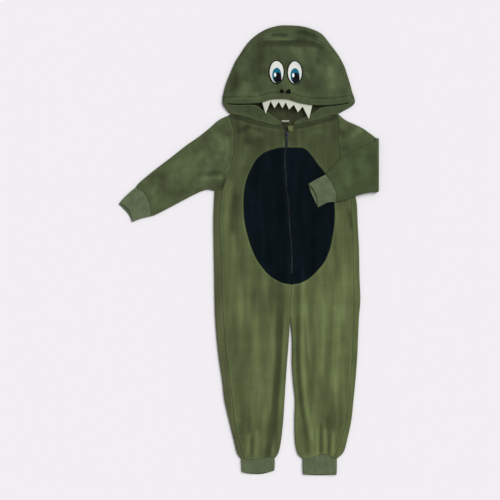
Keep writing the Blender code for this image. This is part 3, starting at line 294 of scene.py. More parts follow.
def forearm_cover(p):
    """1 where the folded forearm lies on the chest, which it presses flat, and 0 away from it."""
    across = smooth_step((p[:, 0] - 30) / 25)
    along = smooth_step((p[:, 1] - 245) / 20) * smooth_step((430 - p[:, 1]) / 20)
    return across * along


def sunk(s):
    return -BODY_SINK * (1 - np.exp(-s / BODY_SINK_REACH))


def body_height(p, s):
    """(level, relief) of the upper layer of the body above the roll: it sinks between the outlines, and carries
    creases and long soft furrows."""
    level = sunk(s)
    relief = crease_height(p, BODY_CREASES + GATHER_CREASES)
    relief += unevenness(p, BODY_UNEVEN)
    relief *= smooth_step(s / 12) * (1 - forearm_cover(p))
    return level, np.maximum(relief, LOWEST_TOP - TOP - level)


def flat_height(p, s):
    return np.zeros(len(p)), np.zeros(len(p))


def fold_edges(outline, folds):
    """Which edges of an outline lie along a fold line. Edge i runs from point i to the next."""
    if not folds:
        return np.zeros(len(outline), bool)
    after = np.roll(outline, -1, axis=0)
    ends_on = nearest_on(outline, folds)[0] < 0.05
    return ends_on & np.roll(ends_on, -1) & (nearest_on((outline + after) / 2, folds)[0] < 0.6)


def set_in(outline, folds, kept):
    """The outline (counter-clockwise) moved in for the gap at its seams. Folds stay where they are, and so do the
    kept points, at which another layer of the same piece carries on along the fold."""
    on_fold = fold_edges(outline, folds)
    step, normal = edge_ways(outline)
    moved = outline.copy()
    for i in range(len(outline)):
        before, after = normal[i - 1], normal[i]
        if on_fold[i - 1] != on_fold[i]:
            if not len(kept) or np.linalg.norm(kept - outline[i], axis=1).min() > 0.01:
                moved[i] += FOLD_END_GAP * (step[i] if on_fold[i] else -step[i - 1])
        elif not on_fold[i]:
            middle = before + after
            moved[i] += SEAM_GAP * middle / max(middle @ middle, 0.5)
    return moved


def seam_ends(outline, folds):
    """The points of an outline where a seam leaves a fold, each with the direction in which the seam goes."""
    on_fold = fold_edges(outline, folds)
    ends = []
    for i, point in enumerate(outline):
        if on_fold[i - 1] != on_fold[i]:
            way = outline[(i + 1) % len(outline)] - point if on_fold[i - 1] else outline[i - 1] - point
            ends.append((point, way / np.linalg.norm(way)))
    return ends


def open_lines(outline, folds):
    """The stretches of an outline that lie on no fold, where the panel has an edge of its own."""
    on_fold = fold_edges(outline, folds)
    lines, line = [], []
    start = int(np.argmax(on_fold)) if on_fold.any() else 0
    for k in range(len(outline)):
        i = (start + k) % len(outline)
        if on_fold[i]:
            if line:
                lines.append(np.array([*line, outline[i]]))
            line = []
        else:
            line.append(outline[i])
    if line:
        lines.append(np.array([*line, outline[start]]))
    return lines


def rows_inside(outline, depths):
    """Rows of points at these depths inside an outline, which let its edge be rounded."""
    _, normal = edge_ways(outline)
    normal = normal + np.roll(normal, 1, axis=0)
    normal /= np.linalg.norm(normal, axis=1)[:, None]
    rows = [(outline + depth * normal, depth) for depth in depths]
    return np.vstack([row[nearest_on(row, [closed(outline)])[0] > 0.9 * depth] for row, depth in rows])


def lattice(outline, across, along, margin):
    """Points in staggered rows inside an outline, further than the margin from its edge."""
    low, high = outline.min(0), outline.max(0)
    rows = np.arange(low[1] + along / 2, high[1], along)
    points = [(x, y) for i, y in enumerate(rows)
              for x in np.arange(low[0] + across * (0.5 + 0.5 * (i % 2)), high[0], across)]
    points = np.array(points).reshape(-1, 2)
    after = np.roll(outline, -1, axis=0)
    crossings = np.zeros(len(points), int)
    for (x0, y0), (x1, y1) in zip(outline, after):
        spans = (points[:, 1] < y0) != (points[:, 1] < y1)
        with np.errstate(divide="ignore", invalid="ignore"):
            meets = x0 + (points[:, 1] - y0) / (y1 - y0) * (x1 - x0)
        crossings += spans & (points[:, 0] < meets)
    inside = points[crossings % 2 == 1]
    if not len(inside):
        return inside
    away, _ = nearest_on(inside, [closed(outline)])
    return inside[away > margin]


def triangulated(outline, inner):
    """(points, triangles) of the outline with the inner points in it."""
    given = np.vstack([outline, inner])
    made = delaunay_2d_cdt([Vector(p) for p in given], [], [list(range(len(outline)))], 1, 1e-5)
    points = [given[sources[0]] if sources else np.array(point) for point, sources in zip(made[0], made[3])]
    return np.array(points), np.array(made[2])


def rounding(depth, radius):
    """How far an edge rounded to a radius has fallen at a depth in from it."""
    short = 1 - np.minimum(depth, radius) / radius
    return radius * (1 - np.sqrt(1 - short**2))


def rolled(s):
    """(sideways share, upright share) of the way out of a rolled edge, at a distance in from it."""
    ease = 1 - np.minimum(s, ROLL) / ROLL
    return ease, np.sqrt(1 - ease**2)


def laid(panel, folds, extra=()):
    """(outer, inner, triangles, relief) of one panel's layer, with its outer face up on top or down beneath. extra
    holds arrays of points in columns, for a bend across the layer."""
    rows = rows_inside(panel.outline, ROLL_ROWS)
    grid = lattice(panel.outline, panel.spacing, panel.spacing, ROLL_ROWS[-1] + 0.5 * min(panel.spacing, FINE))
    for columns in extra:
        middle, half = (columns[:, 0].min() + columns[:, 0].max()) / 2, np.ptp(columns[:, 0]) / 2
        grid = grid[np.abs(grid[:, 0] - middle) > half + 1]
        rows = rows[np.abs(rows[:, 0] - middle) > half + 0.3]
    p, triangles = triangulated(panel.outline, np.vstack([grid, rows, *extra]))
    s, inward = nearest_on(p, folds)
    for end, way in seam_ends(panel.outline, folds):
        inward[np.linalg.norm(p - end, axis=1).argmin()] = way
    ease, rise = rolled(s)
    sign = -1 if panel.side == "under" else 1
    level, relief = panel.height(p, s)
    edges = open_lines(panel.outline, folds)
    depth = nearest_on(p, edges)[0] if edges else np.full(len(p), np.inf)
    # The seam lift is part of the relief too, so the material paints a highlight along each seam.
    if sign > 0:
        relief = relief + SEAM_LIFT * np.exp(-(((depth - 2.4) / 2.2) ** 2)) * smooth_step(s / 6)
    z = ROLL + sign * (ROLL * rise + level + relief)
    if panel.side == "edge":
        z = np.maximum(z, ROLL + SEAM_GAP)
    face = np.column_stack([p, z])
    into = np.column_stack([inward * ease[:, None], -sign * rise])
    wall = panel.wall(p) if callable(panel.wall) else np.full(len(p), panel.wall)
    if callable(panel.wall):
        wall = np.clip(z - FLEECE - 0.2, FLEECE, wall)
    hem = smooth_step((wall - FLEECE) / 1.2)
    drop = rounding(depth, SEAM_ROUND) * (0.75 + 0.45 * hem)
    outer = face + drop[:, None] * into
    inner = face + (wall - hem * rounding(depth, SEAM_ROUND) * 1.2)[:, None] * into
    if sign > 0:
        clear = s > ROLL
        inner[clear, 2] = np.maximum(inner[clear, 2], FLEECE + 0.2)
    return outer, inner, triangles[:, ::-1] if sign < 0 else triangles, relief


def top_of(height, p):
    """The height of the laid cloth's upper face at each point, for what is sewn on it."""
    s, _ = nearest_on(p, OUTLINE)
    level, relief = height(p, s)
    return ROLL + ROLL * rolled(s)[1] + level + relief


def skin_area(points, triangles):
    a, b, c = (points[triangles[:, k]] for k in range(3))
    return np.linalg.norm(np.cross(b - a, c - a), axis=1).sum() / 2


def wall_mesh(outer, inner, triangles):
    """(points, faces, kept) of the closed wall between an outer and an inner skin, with its open edges closed by
    rims. kept says which of the outer points are left after the layers are welded."""
    keys, index = np.unique(np.round(outer, 2), axis=0, return_inverse=True)
    index = index.reshape(-1)
    first = np.zeros(len(keys), int)
    first[index[::-1]] = np.arange(len(outer))[::-1]
    outer, inner, triangles = outer[first], inner[first], index[triangles]
    whole = (triangles[:, 0] != triangles[:, 1]) & (triangles[:, 1] != triangles[:, 2])
    triangles = triangles[whole & (triangles[:, 0] != triangles[:, 2])]
    count = len(outer)
    edges = {(a, b) for t in triangles.tolist() for a, b in zip(t, t[1:] + t[:1])}
    rims = [(b, a, a + count, b + count) for a, b in edges if (b, a) not in edges]
    faces = [tuple(t) for t in triangles.tolist()] + [tuple(t) for t in (triangles[:, ::-1] + count).tolist()]
    return np.vstack([outer, inner]), faces + rims, first


def add_piece(name, points, faces, material, sharp=60):
    """A mesh object with its place in its mesh, from points in millimetres in the garment's frame."""
    mesh = bpy.data.meshes.new(name)
    placed = np.asarray(points, float) * MM + np.array(ORIGIN)
    mesh.from_pydata(placed.tolist(), [], [tuple(int(i) for i in f) for f in faces])
    mesh.materials.append(material)
    mesh.shade_smooth()
    mesh.set_sharp_from_angle(angle=math.radians(sharp))
    piece = bpy.data.objects.new(name, mesh)
    bpy.context.scene.collection.objects.link(piece)
    return piece


def set_attribute(piece, name, values):
    piece.data.attributes.new(name, "FLOAT", "POINT").data.foreach_set("value", values.astype(np.float32))


def sew(name, panels, material, folds=OUTLINE, bend=None, extra=(), shading=2.0):
    """A cloth piece from its panels, upper one first, welded where one rolls over into the next and bent last if a
    bend is given. It takes the place of the frame's solid of that name. shading is the depth in millimetres of a
    crease at which its painted shade is darkest, and the height of a crest at which its painted highlight is
    brightest."""
    outer, inner, triangles, relief, count = [], [], [], [], 0
    along = [fold_edges(panel.outline, folds) for panel in panels]
    kept = np.vstack([panel.outline[on & np.roll(on, 1)] for panel, on in zip(panels, along)])
    for panel in panels:
        o, i, t, r = laid(panel._replace(outline=set_in(panel.outline, folds, kept)), folds, extra)
        outer.append(o)
        inner.append(i)
        triangles.append(t + count)
        relief.append(r)
        count += len(o)
    outer, triangles = np.vstack(outer), np.vstack(triangles)
    points, faces, first = wall_mesh(outer, np.vstack(inner), triangles)
    piece = add_piece(name + "_cloth", bend(points) if bend else points, faces, material)
    # The relief goes to the material, which paints shade in the creases' valleys and highlight on their crests.
    set_attribute(piece, "relief", np.tile(np.clip(np.concatenate(relief)[first] / shading, -1, 1), 2))
    # The inner skin is marked so that its material darkens it as painted shade.
    set_attribute(piece, "reverse", np.repeat([0.0, 1.0], len(first)))
    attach(piece, "garment")
    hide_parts(name)
    return piece


def add_node(tree, kind, inputs=None, **settings):
    """A node with its settings and its inputs, each a value or a socket to link from."""
    made = tree.nodes.new(kind)
    for key, value in settings.items():
        setattr(made, key, value)
    for key, value in (inputs or {}).items():
        socket = made.inputs[key]
        if isinstance(value, bpy.types.NodeSocket):
            tree.links.new(value, socket)
        else:
            socket.default_value = value
    return made


def new_group(name, kind, inputs, outputs):
    """(tree, its input node, its output node) with named sockets. inputs maps a name to a socket kind and a value."""
    tree = bpy.data.node_groups.new(name, kind)
    for label, (socket, value) in inputs.items():
        made = tree.interface.new_socket(label, in_out="INPUT", socket_type="NodeSocket" + socket)
        if value is not None:
            made.default_value = value
    for label, socket in outputs.items():
        tree.interface.new_socket(label, in_out="OUTPUT", socket_type="NodeSocket" + socket)
    return tree, tree.nodes.new("NodeGroupInput"), tree.nodes.new("NodeGroupOutput")


def velour_nap():
    """The nap of velour: soft blotches where it has been stroked one way or the other, streaks along the grain, and
    the pile itself, as a Tone from 0 to 1 and a Height for a bump."""
    tree, given, made = new_group("velour_nap", "ShaderNodeTree", {
        "Blotch": ("Float", 55.0), "Streaks": ("Float", 0.5), "Drift": ("Float", 0.0),
    }, {"Tone": "Float", "Height": "Float"})
    place = add_node(tree, "ShaderNodeTexCoord").outputs["Object"]
    blotch = add_node(tree, "ShaderNodeTexNoise", {"Vector": place, "Scale": given.outputs["Blotch"],
                                                   "Detail": 3.0, "Roughness": 0.55,
                                                   "W": given.outputs["Drift"]}, noise_dimensions="4D")
    along = add_node(tree, "ShaderNodeMapping", {"Vector": place, "Scale": (95.0, 8.0, 20.0)})
    streak = add_node(tree, "ShaderNodeTexNoise", {"Vector": along.outputs[0], "Scale": 1.0, "Detail": 4.0,
                                                   "Roughness": 0.6, "W": given.outputs["Drift"]},
                      noise_dimensions="4D")
    pile = add_node(tree, "ShaderNodeTexNoise", {"Vector": place, "Scale": 900.0, "Detail": 3.0})
    tuft = add_node(tree, "ShaderNodeTexNoise", {"Vector": place, "Scale": 260.0, "Detail": 2.0})
    mixed = add_node(tree, "ShaderNodeMix", {"Factor": given.outputs["Streaks"], "A": blotch.outputs[0],
                                             "B": streak.outputs[0]})
    fuzz = add_node(tree, "ShaderNodeMix", {"Factor": 0.16, "A": mixed.outputs[0], "B": tuft.outputs[0]})
    speck = add_node(tree, "ShaderNodeMix", {"Factor": 0.12, "A": fuzz.outputs[0], "B": pile.outputs[0]})
    tone = add_node(tree, "ShaderNodeMapRange", {"Value": speck.outputs[0], "From Min": 0.34, "From Max": 0.66})
    tree.links.new(tone.outputs[0], made.inputs["Tone"])
    height = add_node(tree, "ShaderNodeMix", {"Factor": 0.45, "A": pile.outputs[0], "B": tuft.outputs[0]})
    tree.links.new(height.outputs[0], made.inputs["Height"])
    return tree


VELOUR_NAP = velour_nap()
# Shares of the cloth's colour in the valleys and on the crests of its creases, from the relief attribute: painted
# shade and painted highlight.
VALLEY_PAINTED_SHADE = 0.55
CREST_PAINTED_HIGHLIGHT = 1.4
# Painted shade: the colour is multiplied by this, darker and browner, on the cloth's inner faces, which show only in
# hollows such as the inside of the hood.
INNER_SKIN_SHADE_COLOUR = (0.62, 0.54, 0.52, 1)


def mix_colour(tree, factor, a, b, blend="MIX"):
    mixer = add_node(tree, "ShaderNodeMix", data_type="RGBA", blend_type=blend)
    for socket, value in ((mixer.inputs[0], factor), (mixer.inputs[6], a), (mixer.inputs[7], b)):
        if isinstance(value, bpy.types.NodeSocket):
            tree.links.new(value, socket)
        else:
            socket.default_value = value
    return mixer.outputs[2]


def new_material(name):
    """(material, tree, socket of the place in the object's own coordinates)"""
    material = bpy.data.materials.new(name)
    material.use_nodes = True
    return material, material.node_tree, add_node(material.node_tree, "ShaderNodeTexCoord").outputs["Object"]


def shade(tree, colour, height, strength, depth, **settings):
    """Gives a material's shader its colour, a bump of a depth in millimetres, and its other settings."""
    shader = tree.nodes["Principled BSDF"]
    bump = add_node(tree, "ShaderNodeBump", {"Height": height, "Strength": strength, "Distance": depth * MM})
    tree.links.new(colour, shader.inputs["Base Color"])
    tree.links.new(bump.outputs[0], shader.inputs["Normal"])
    for label, value in settings.items():
        shader.inputs[label.replace("_", " ")].default_value = value


def spread(tree, value, low, high, to_low=0.0, to_high=1.0):
    """A value's range from low to high, drawn out over another range."""
    return add_node(tree, "ShaderNodeMapRange", {"Value": value, "From Min": low, "From Max": high,
                                                 "To Min": to_low, "To Max": to_high}).outputs[0]


def scaled(colour, k):
    return tuple(k * c for c in colour[:3]) + (1,)


def velour(name, dark, light, blotch, streaks, drift, fade=None, sheen=0.22, gloss=0.2):
    """A velour material between two colours. fade is (from y, to y, colour), in millimetres up the garment: the
    cloth's colour is multiplied by that colour more and more from the first level to the second, and fully beyond it."""
    material, tree, place = new_material(name)
    nap = add_node(tree, "ShaderNodeGroup", node_tree=VELOUR_NAP)
    for key, value in (("Blotch", blotch), ("Streaks", streaks), ("Drift", drift)):
        nap.inputs[key].default_value = value
    colour = mix_colour(tree, nap.outputs["Tone"], dark, light)
    # Painted shade in the creases' valleys and painted highlight on their crests, from the relief attribute.
    relief = add_node(tree, "ShaderNodeAttribute", attribute_name="relief").outputs["Fac"]
    colour = mix_colour(tree, 1.0, colour, spread(tree, relief, -1.0, 1.0, VALLEY_PAINTED_SHADE, CREST_PAINTED_HIGHLIGHT), "MULTIPLY")
    # Painted shade on the inner skin.
    reverse = add_node(tree, "ShaderNodeAttribute", attribute_name="reverse")
    colour = mix_colour(tree, reverse.outputs["Fac"], colour, mix_colour(tree, 1.0, colour, INNER_SKIN_SHADE_COLOUR, "MULTIPLY"))
    if fade:
        start, end, toward = fade
        along = add_node(tree, "ShaderNodeSeparateXYZ", {"Vector": place}).outputs["Y"]
        share = spread(tree, along, start * MM + ORIGIN.y, end * MM + ORIGIN.y)
        colour = mix_colour(tree, share, colour, mix_colour(tree, 1.0, colour, toward, "MULTIPLY"))
    shade(tree, colour, nap.outputs["Height"], 0.5, 0.6, Roughness=0.95, Specular_IOR_Level=gloss,
          Sheen_Weight=sheen, Sheen_Roughness=0.45,
          Sheen_Tint=tuple(min(1, 3 * c + 0.25) for c in light[:3]) + (1,))
    return material


OLIVE_DARK = (0.065, 0.082, 0.031, 1)
OLIVE_LIGHT = (0.123, 0.153, 0.058, 1)
CHEST_FADE = (160, 440, (0.52, 0.54, 0.57, 1))
body_velour = velour("body_velour", OLIVE_DARK, OLIVE_LIGHT, 22.0, 0.5, 1.0, CHEST_FADE)
# The next two are darker copies of body_velour, the second also browner: painted shade on the wearer's right side,
# which faces away from the key light.
shaded_velour = velour("shaded_velour", (0.059, 0.074, 0.029, 1), (0.112, 0.139, 0.054, 1), 22.0, 0.5, 2.5,
                       CHEST_FADE)
side_velour = velour("side_velour", (0.064, 0.073, 0.031, 1), (0.108, 0.120, 0.052, 1), 22.0, 0.5, 1.7, CHEST_FADE)

neck = run(BACK_NECK)
neck[len(neck) // 2] = BACK_NECK_MIDDLE
half_neck = len(neck) // 2
centre_back = run([BACK_NECK_MIDDLE, CROTCH])
back_under_right = joined(neck[: half_neck + 1][::-1], run([NECK_RIGHT, ARMHOLE_TOP_RIGHT]),
                          run(BACK_ARMHOLE_RIGHT), run(SIDE_RIGHT), LEG_END_RIGHT, run(INNER_LEG_RIGHT)[::-1],
                          centre_back[::-1])
back_strip_right = joined(run([SIDE_SEAM_RIGHT[0], UNDERARM_RIGHT]), run(SIDE_RIGHT),
                          run([SIDE_RIGHT[-1], SIDE_SEAM_RIGHT[-1]]), run(SIDE_SEAM_RIGHT)[::-1])
back_under_left = joined(centre_back, run(INNER_LEG_LEFT), LEG_END_LEFT, run(SIDE_LEFT)[::-1],
                         run(BACK_ARMHOLE_LEFT)[::-1], neck[half_neck:][::-1])
back_strip_left = joined(run(SIDE_SEAM_LEFT), run([SIDE_SEAM_LEFT[-1], SIDE_LEFT[-1]]), run(SIDE_LEFT)[::-1],
                         run([UNDERARM_LEFT, SIDE_SEAM_LEFT[0]]))
for name, strip, under, material, width in (
        ("back_right", back_strip_right, back_under_right, side_velour, 215),
        ("back_left", back_strip_left, back_under_left, body_velour, 200)):
    sew(name, [Panel(strip, "top", body_height, FLEECE, FINE), Panel(under, "under", flat_height, FLEECE, ROUGH)],
        material)

# Fronts and belly. Two green fronts run from the neck to the ankles, with the halves of a dark oval let into them on
# each side of the zip. The seam allowance lifts both edges a little, and the zip's tape ruffles them.
NECK_SEAM_RIGHT = [NECK_RIGHT, (-102, 475), (-76, 466), (-52, 460), (-28, 455), (-15, 457)]
NECK_SEAM_LEFT = [NECK_LEFT, (94, 477), (75, 469), (58, 465), (34, 459), (12, 457)]
ZIP_LINE = [(-3, 438), (-4, 407), (-7, 376), (-4, 324), (0, 283), (3, 249), (4, 221), (7, 190), (9.5, 150),
            (9, 112)]
ZIP_TO_CROTCH = [(9, 104), (8, 80), (6, 40), CROTCH]
PARTED_RIGHT = (-15, 457)
PARTED_LEFT = (12, 457)
CHANNEL_HALF = 2.3
BELLY_TOP = 403
BELLY_FOOT = 81
BELLY_RIM_RIGHT = [(-20, 402.5), (-46, 395), (-62, 386.5), (-75, 373.5), (-87, 353), (-97, 329), (-103, 302),
                   (-104.8, 262), (-102, 228), (-95, 196), (-84.3, 163), (-71, 136), (-50, 108.5), (-33, 95),
                   (-14, 85)]
BELLY_RIM_LEFT = [(14, 402.5), (36, 401), (51, 389), (70, 363), (84, 346), (98, 320), (107, 284), (109.5, 250),
                  (108, 220), (103.5, 190), (97.5, 163), (85.5, 135), (69, 114), (48, 94.5), (28, 84)]
RUFFLE_HEIGHT = 0.9
RUFFLE_LENGTH = 31.0
RUFFLE_REACH = 9.0
OVER_TAPE_TOP = 5.2
TAPE_REACH = 19.0
BODY_SHADING = 1.5

zip_run = run(ZIP_LINE)


def front_height(p, s):
    """The body's height with the ruffle along the zip."""
    level, relief = body_height(p, s)
    beside = p[:, 0] - np.interp(p[:, 1], zip_run[::-1, 1], zip_run[::-1, 0])
    over_tape = smooth_step((TAPE_REACH - np.abs(beside)) / 8) * (p[:, 1] > 90)
    relief = np.maximum(relief, OVER_TAPE_TOP - TOP - level - 3 * (1 - over_tape))
    ends = smooth_step((p[:, 1] - 95) / 30) * smooth_step((440 - p[:, 1]) / 30)
    wave = np.sin(2 * math.pi * p[:, 1] / RUFFLE_LENGTH + 1.5 * np.sign(beside)) * 0.6 + 0.8
    return level, relief + RUFFLE_HEIGHT * wave * np.exp(-((beside / RUFFLE_REACH) ** 2)) * ends


def at_level(edge, level):
    """The point of a downward edge at a level."""
    order = np.argsort(edge[:, 1])
    return np.array([np.interp(level, edge[order, 1], edge[order, 0]), level])


def split_edge(side):
    """The centre edge of one front from the neck to the crotch, in three stretches: above the belly, beside it and
    below it. side is -1 for the wearer's right."""
    top = PARTED_RIGHT if side < 0 else PARTED_LEFT
    edge = joined(np.array([top], float), zip_run + [side * CHANNEL_HALF, 0], run(ZIP_TO_CROTCH))
    high, low = at_level(edge, BELLY_TOP), at_level(edge, BELLY_FOOT)
    above = np.vstack([edge[edge[:, 1] > BELLY_TOP + 1], high])
    beside = np.vstack([high, edge[(edge[:, 1] < BELLY_TOP - 1) & (edge[:, 1] > BELLY_FOOT + 1)], low])
    below = np.vstack([low, edge[edge[:, 1] < BELLY_FOOT - 1]])
    return above, beside, below


def belly_rim(rim, beside):
    """The oval's edge on one side of the zip, from its top down."""
    return np.vstack([beside[:1], run(rim), beside[-1:]])


NAVY_DARK = (0.0011, 0.0034, 0.0048, 1)
NAVY_LIGHT = (0.0036, 0.0082, 0.0112, 1)
belly_velour = velour("belly_velour", NAVY_DARK, NAVY_LIGHT, 26.0, 0.5, 4.0, sheen=0.01, gloss=0.05)

above, beside, below = split_edge(-1)
rim = belly_rim(BELLY_RIM_RIGHT, beside)
belly_right = joined(rim, beside[::-1])
front_right = joined(run(NECK_SEAM_RIGHT)[::-1], run([NECK_RIGHT, ARMHOLE_TOP_RIGHT]), run(ARMHOLE_RIGHT),
                     run(SIDE_SEAM_RIGHT), run(LEG_HEM_RIGHT), run(INNER_LEG_RIGHT)[::-1], below[::-1], rim[::-1],
                     above[::-1])
above, beside, below = split_edge(1)
rim = belly_rim(BELLY_RIM_LEFT, beside)
belly_left = joined(beside, rim[::-1])
front_left = joined(above, rim, below, run(INNER_LEG_LEFT), run(LEG_HEM_LEFT), run(SIDE_SEAM_LEFT)[::-1],
                    run(ARMHOLE_LEFT)[::-1], run(NECK_SEAM_LEFT))
for side, front, belly, material, width in (("right", front_right, belly_right, shaded_velour, 168),
                                            ("left", front_left, belly_left, body_velour, 160)):
    under = ["back_" + side + "_cloth"]
    sew("front_" + side, [Panel(front, "edge", front_height, FLEECE, FINE)], material,
        shading=BODY_SHADING)
    sew("belly_" + side, [Panel(belly, "edge", front_height, FLEECE, FINE)], belly_velour)

# Zip. A woven tape is sewn under each front, with a nylon coil along its edge. The two coils mesh below the slider,
# a painted casting with a bridge on which the pull tab hinges, and the tapes part above it.
TAPE = 0.6
TAPE_HALF = 11.0
TAPE_LEVEL = FLEECE + 0.3
TAPE_END_RIGHT = (-10.6, 454)
TAPE_END_LEFT = (5.0, 451)
TAPE_FOOT = (9, 105)
TOOTH_PITCH = 1.25
TOOTH_SIZE = (0.95, 2.3, 2.4)
TOOTH_LEVEL = 4.15
SLIDER_LEVEL = 7.0
SLIDER_PLATE = [(-4.2, 3.6), (-3.9, 4.9), (-2.7, 5.5), (2.7, 5.5), (3.9, 4.9), (4.2, 3.6), (3.9, 0.3), (3.1, -4.3),
                (2.2, -5.4), (-2.2, -5.4), (-3.1, -4.3), (-3.9, 0.3)]
SLIDER_POST = [(-0.8, 2.5), (0.8, 2.5), (0.8, 4.9), (-0.8, 4.9)]
PLATE_TOP = 8.4
BRIDGE_PATH = [(2.9, 8.2), (2.75, 10.0), (2.1, 10.95), (0.9, 11.25), (-0.9, 11.25), (-2.1, 10.95), (-2.75, 10.0),
               (-2.9, 8.2)]
BRIDGE_HALF = (0.95, 0.42)
PIVOT_LEVEL = 9.6
PULL_TILT = math.radians(-2.6)
PULL_TAB = [(0, 0.6), (-2.2, 0.6), (-2.8, 0.0), (-2.55, -6), (-2.0, -19.5), (-1.5, -21.8), (-0.7, -22.4),
            (0.7, -22.4), (1.5, -21.8), (2.0, -19.5), (2.55, -6), (2.8, 0.0), (2.2, 0.6), (0, 0.6)]
PULL_HOLE = [(0, -0.6), (-1.1, -0.6), (-1.5, -1.0), (-1.5, -4.2), (-1.1, -4.7), (0, -4.8), (1.1, -4.7), (1.5, -4.2),
             (1.5, -1.0), (1.1, -0.6), (0, -0.6)]


def stitch_row():
    """Rounded stitches, or teeth, set along each line of a mesh at a pitch, lengthways or turned across it."""
    tree, given, made = new_group("stitch_row", "GeometryNodeTree", {
        "Path": ("Geometry", None), "Pitch": ("Float", 0.003), "Size": ("Vector", (0.003, 0.0005, 0.0004)),
        "Turn": ("Vector", (0.0, 0.0, 0.0)), "Thread": ("Material", None),
    }, {"Stitches": "Geometry"})
    line = add_node(tree, "GeometryNodeMeshToCurve", {"Mesh": given.outputs["Path"]})
    points = add_node(tree, "GeometryNodeCurveToPoints", {"Curve": line.outputs["Curve"],
                                                          "Length": given.outputs["Pitch"]}, mode="LENGTH")
    along = add_node(tree, "FunctionNodeAlignRotationToVector", {"Vector": points.outputs["Tangent"]}, axis="X")
    turn = add_node(tree, "FunctionNodeEulerToRotation", {"Euler": given.outputs["Turn"]})
    laid_at = add_node(tree, "FunctionNodeRotateRotation", {"Rotation": along.outputs[0],
                                                            "Rotate By": turn.outputs[0]}, rotation_space="LOCAL")
    bead = add_node(tree, "GeometryNodeMeshUVSphere", {"Segments": 8, "Rings": 6, "Radius": 0.5})
    smooth = add_node(tree, "GeometryNodeSetShadeSmooth", {"Geometry": bead.outputs["Mesh"]})
    sewn = add_node(tree, "GeometryNodeInstanceOnPoints", {
        "Points": points.outputs["Points"], "Instance": smooth.outputs[0], "Rotation": laid_at.outputs[0],
        "Scale": given.outputs["Size"]})
    whole = add_node(tree, "GeometryNodeRealizeInstances", {"Geometry": sewn.outputs[0]})
    dyed = add_node(tree, "GeometryNodeSetMaterial", {"Geometry": whole.outputs[0],
                                                      "Material": given.outputs["Thread"]})
    tree.links.new(dyed.outputs[0], made.inputs["Stitches"])
    return tree


STITCH_ROW = stitch_row()


def stitched(name, lines, pitch, size, material, across=False):
    """One object of stitches along lines of points in millimetres in the garment's frame."""
    mesh = bpy.data.meshes.new(name + "_path")
    points = np.vstack(lines) * MM + np.array(ORIGIN)
    starts = np.cumsum([0] + [len(line) for line in lines])
    edges = [(i, i + 1) for a, b in zip(starts, starts[1:]) for i in range(a, b - 1)]
    mesh.from_pydata(points.tolist(), edges, [])
    path = bpy.data.objects.new(name + "_path", mesh)
    bpy.context.scene.collection.objects.link(path)
    modifier = path.modifiers.new("stitches", "NODES")
    modifier.node_group = STITCH_ROW
    sockets = {item.name: item.identifier for item in STITCH_ROW.interface.items_tree if item.item_type == "SOCKET"}
    modifier[sockets["Pitch"]] = pitch * MM
    modifier[sockets["Size"]] = [length * MM for length in size]
    modifier[sockets["Turn"]] = [0.0, 0.0, math.pi / 2 if across else 0.0]
    modifier[sockets["Thread"]] = material
    evaluated = path.evaluated_get(bpy.context.evaluated_depsgraph_get())
    made = bpy.data.meshes.new_from_object(evaluated)
    made.name = name
    path.modifiers.remove(modifier)
    bpy.data.objects.remove(path)
    piece = bpy.data.objects.new(name, made)
    bpy.context.scene.collection.objects.link(piece)
    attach(piece, "garment")
    return piece


def yarn(name, colour, roughness=0.55, gloss=0.4, scale=700.0, vary=0.3):
    """Sewing thread or nylon: one colour with a twist in its tone, slight at a fine scale; at a coarse scale and a
    large vary, its light patches are painted highlights.
    """
    material, tree, place = new_material(name)
    tone = add_node(tree, "ShaderNodeTexNoise", {"Vector": place, "Scale": scale, "Detail": 2.0}).outputs[0]
    colour = mix_colour(tree, spread(tree, tone, 0.3, 0.7), scaled(colour, 1 - vary), scaled(colour, 1 + vary))
    shade(tree, colour, tone, 0.3, 0.2, Roughness=roughness, Specular_IOR_Level=gloss)
    return material


def threads(name, colour, period, gloss=0.45, roughness=0.42, contrast=0.2, direction="Y"):
    """Cloth whose threads lie side by side at a period in millimetres: woven tape and satin embroidery."""
    material, tree, place = new_material(name)
    wave = add_node(tree, "ShaderNodeTexWave", {"Vector": place, "Scale": math.pi / 10 / (period * MM),
                                                "Distortion": 1.2, "Detail": 2.0, "Detail Scale": 1.5},
                    bands_direction=direction).outputs["Fac"]
    cloud = add_node(tree, "ShaderNodeTexNoise", {"Vector": place, "Scale": 240.0, "Detail": 2.0})
    tone = add_node(tree, "ShaderNodeMix", {"Factor": 0.4, "A": wave, "B": cloud.outputs[0]})
    colour = mix_colour(tree, tone.outputs[0], scaled(colour, 1 - contrast), scaled(colour, 1 + contrast / 2))
    shade(tree, colour, wave, 0.4, 0.2, Roughness=roughness, Specular_IOR_Level=gloss)
    return material


def cast_metal(name, colour):
    """Satin paint on cast metal, thinner and brighter where it has been handled."""
    material, tree, place = new_material(name)
    cloud = add_node(tree, "ShaderNodeTexNoise", {"Vector": place, "Scale": 420.0, "Detail": 5.0}).outputs[0]
    worn = mix_colour(tree, spread(tree, cloud, 0.42, 0.72), colour, scaled(colour, 2.2))
    shade(tree, worn, cloud, 0.15, 0.1, Metallic=0.55)
    shader = tree.nodes["Principled BSDF"]
    tree.links.new(spread(tree, cloud, 0.0, 1.0, 0.28, 0.5), shader.inputs["Roughness"])
    return material


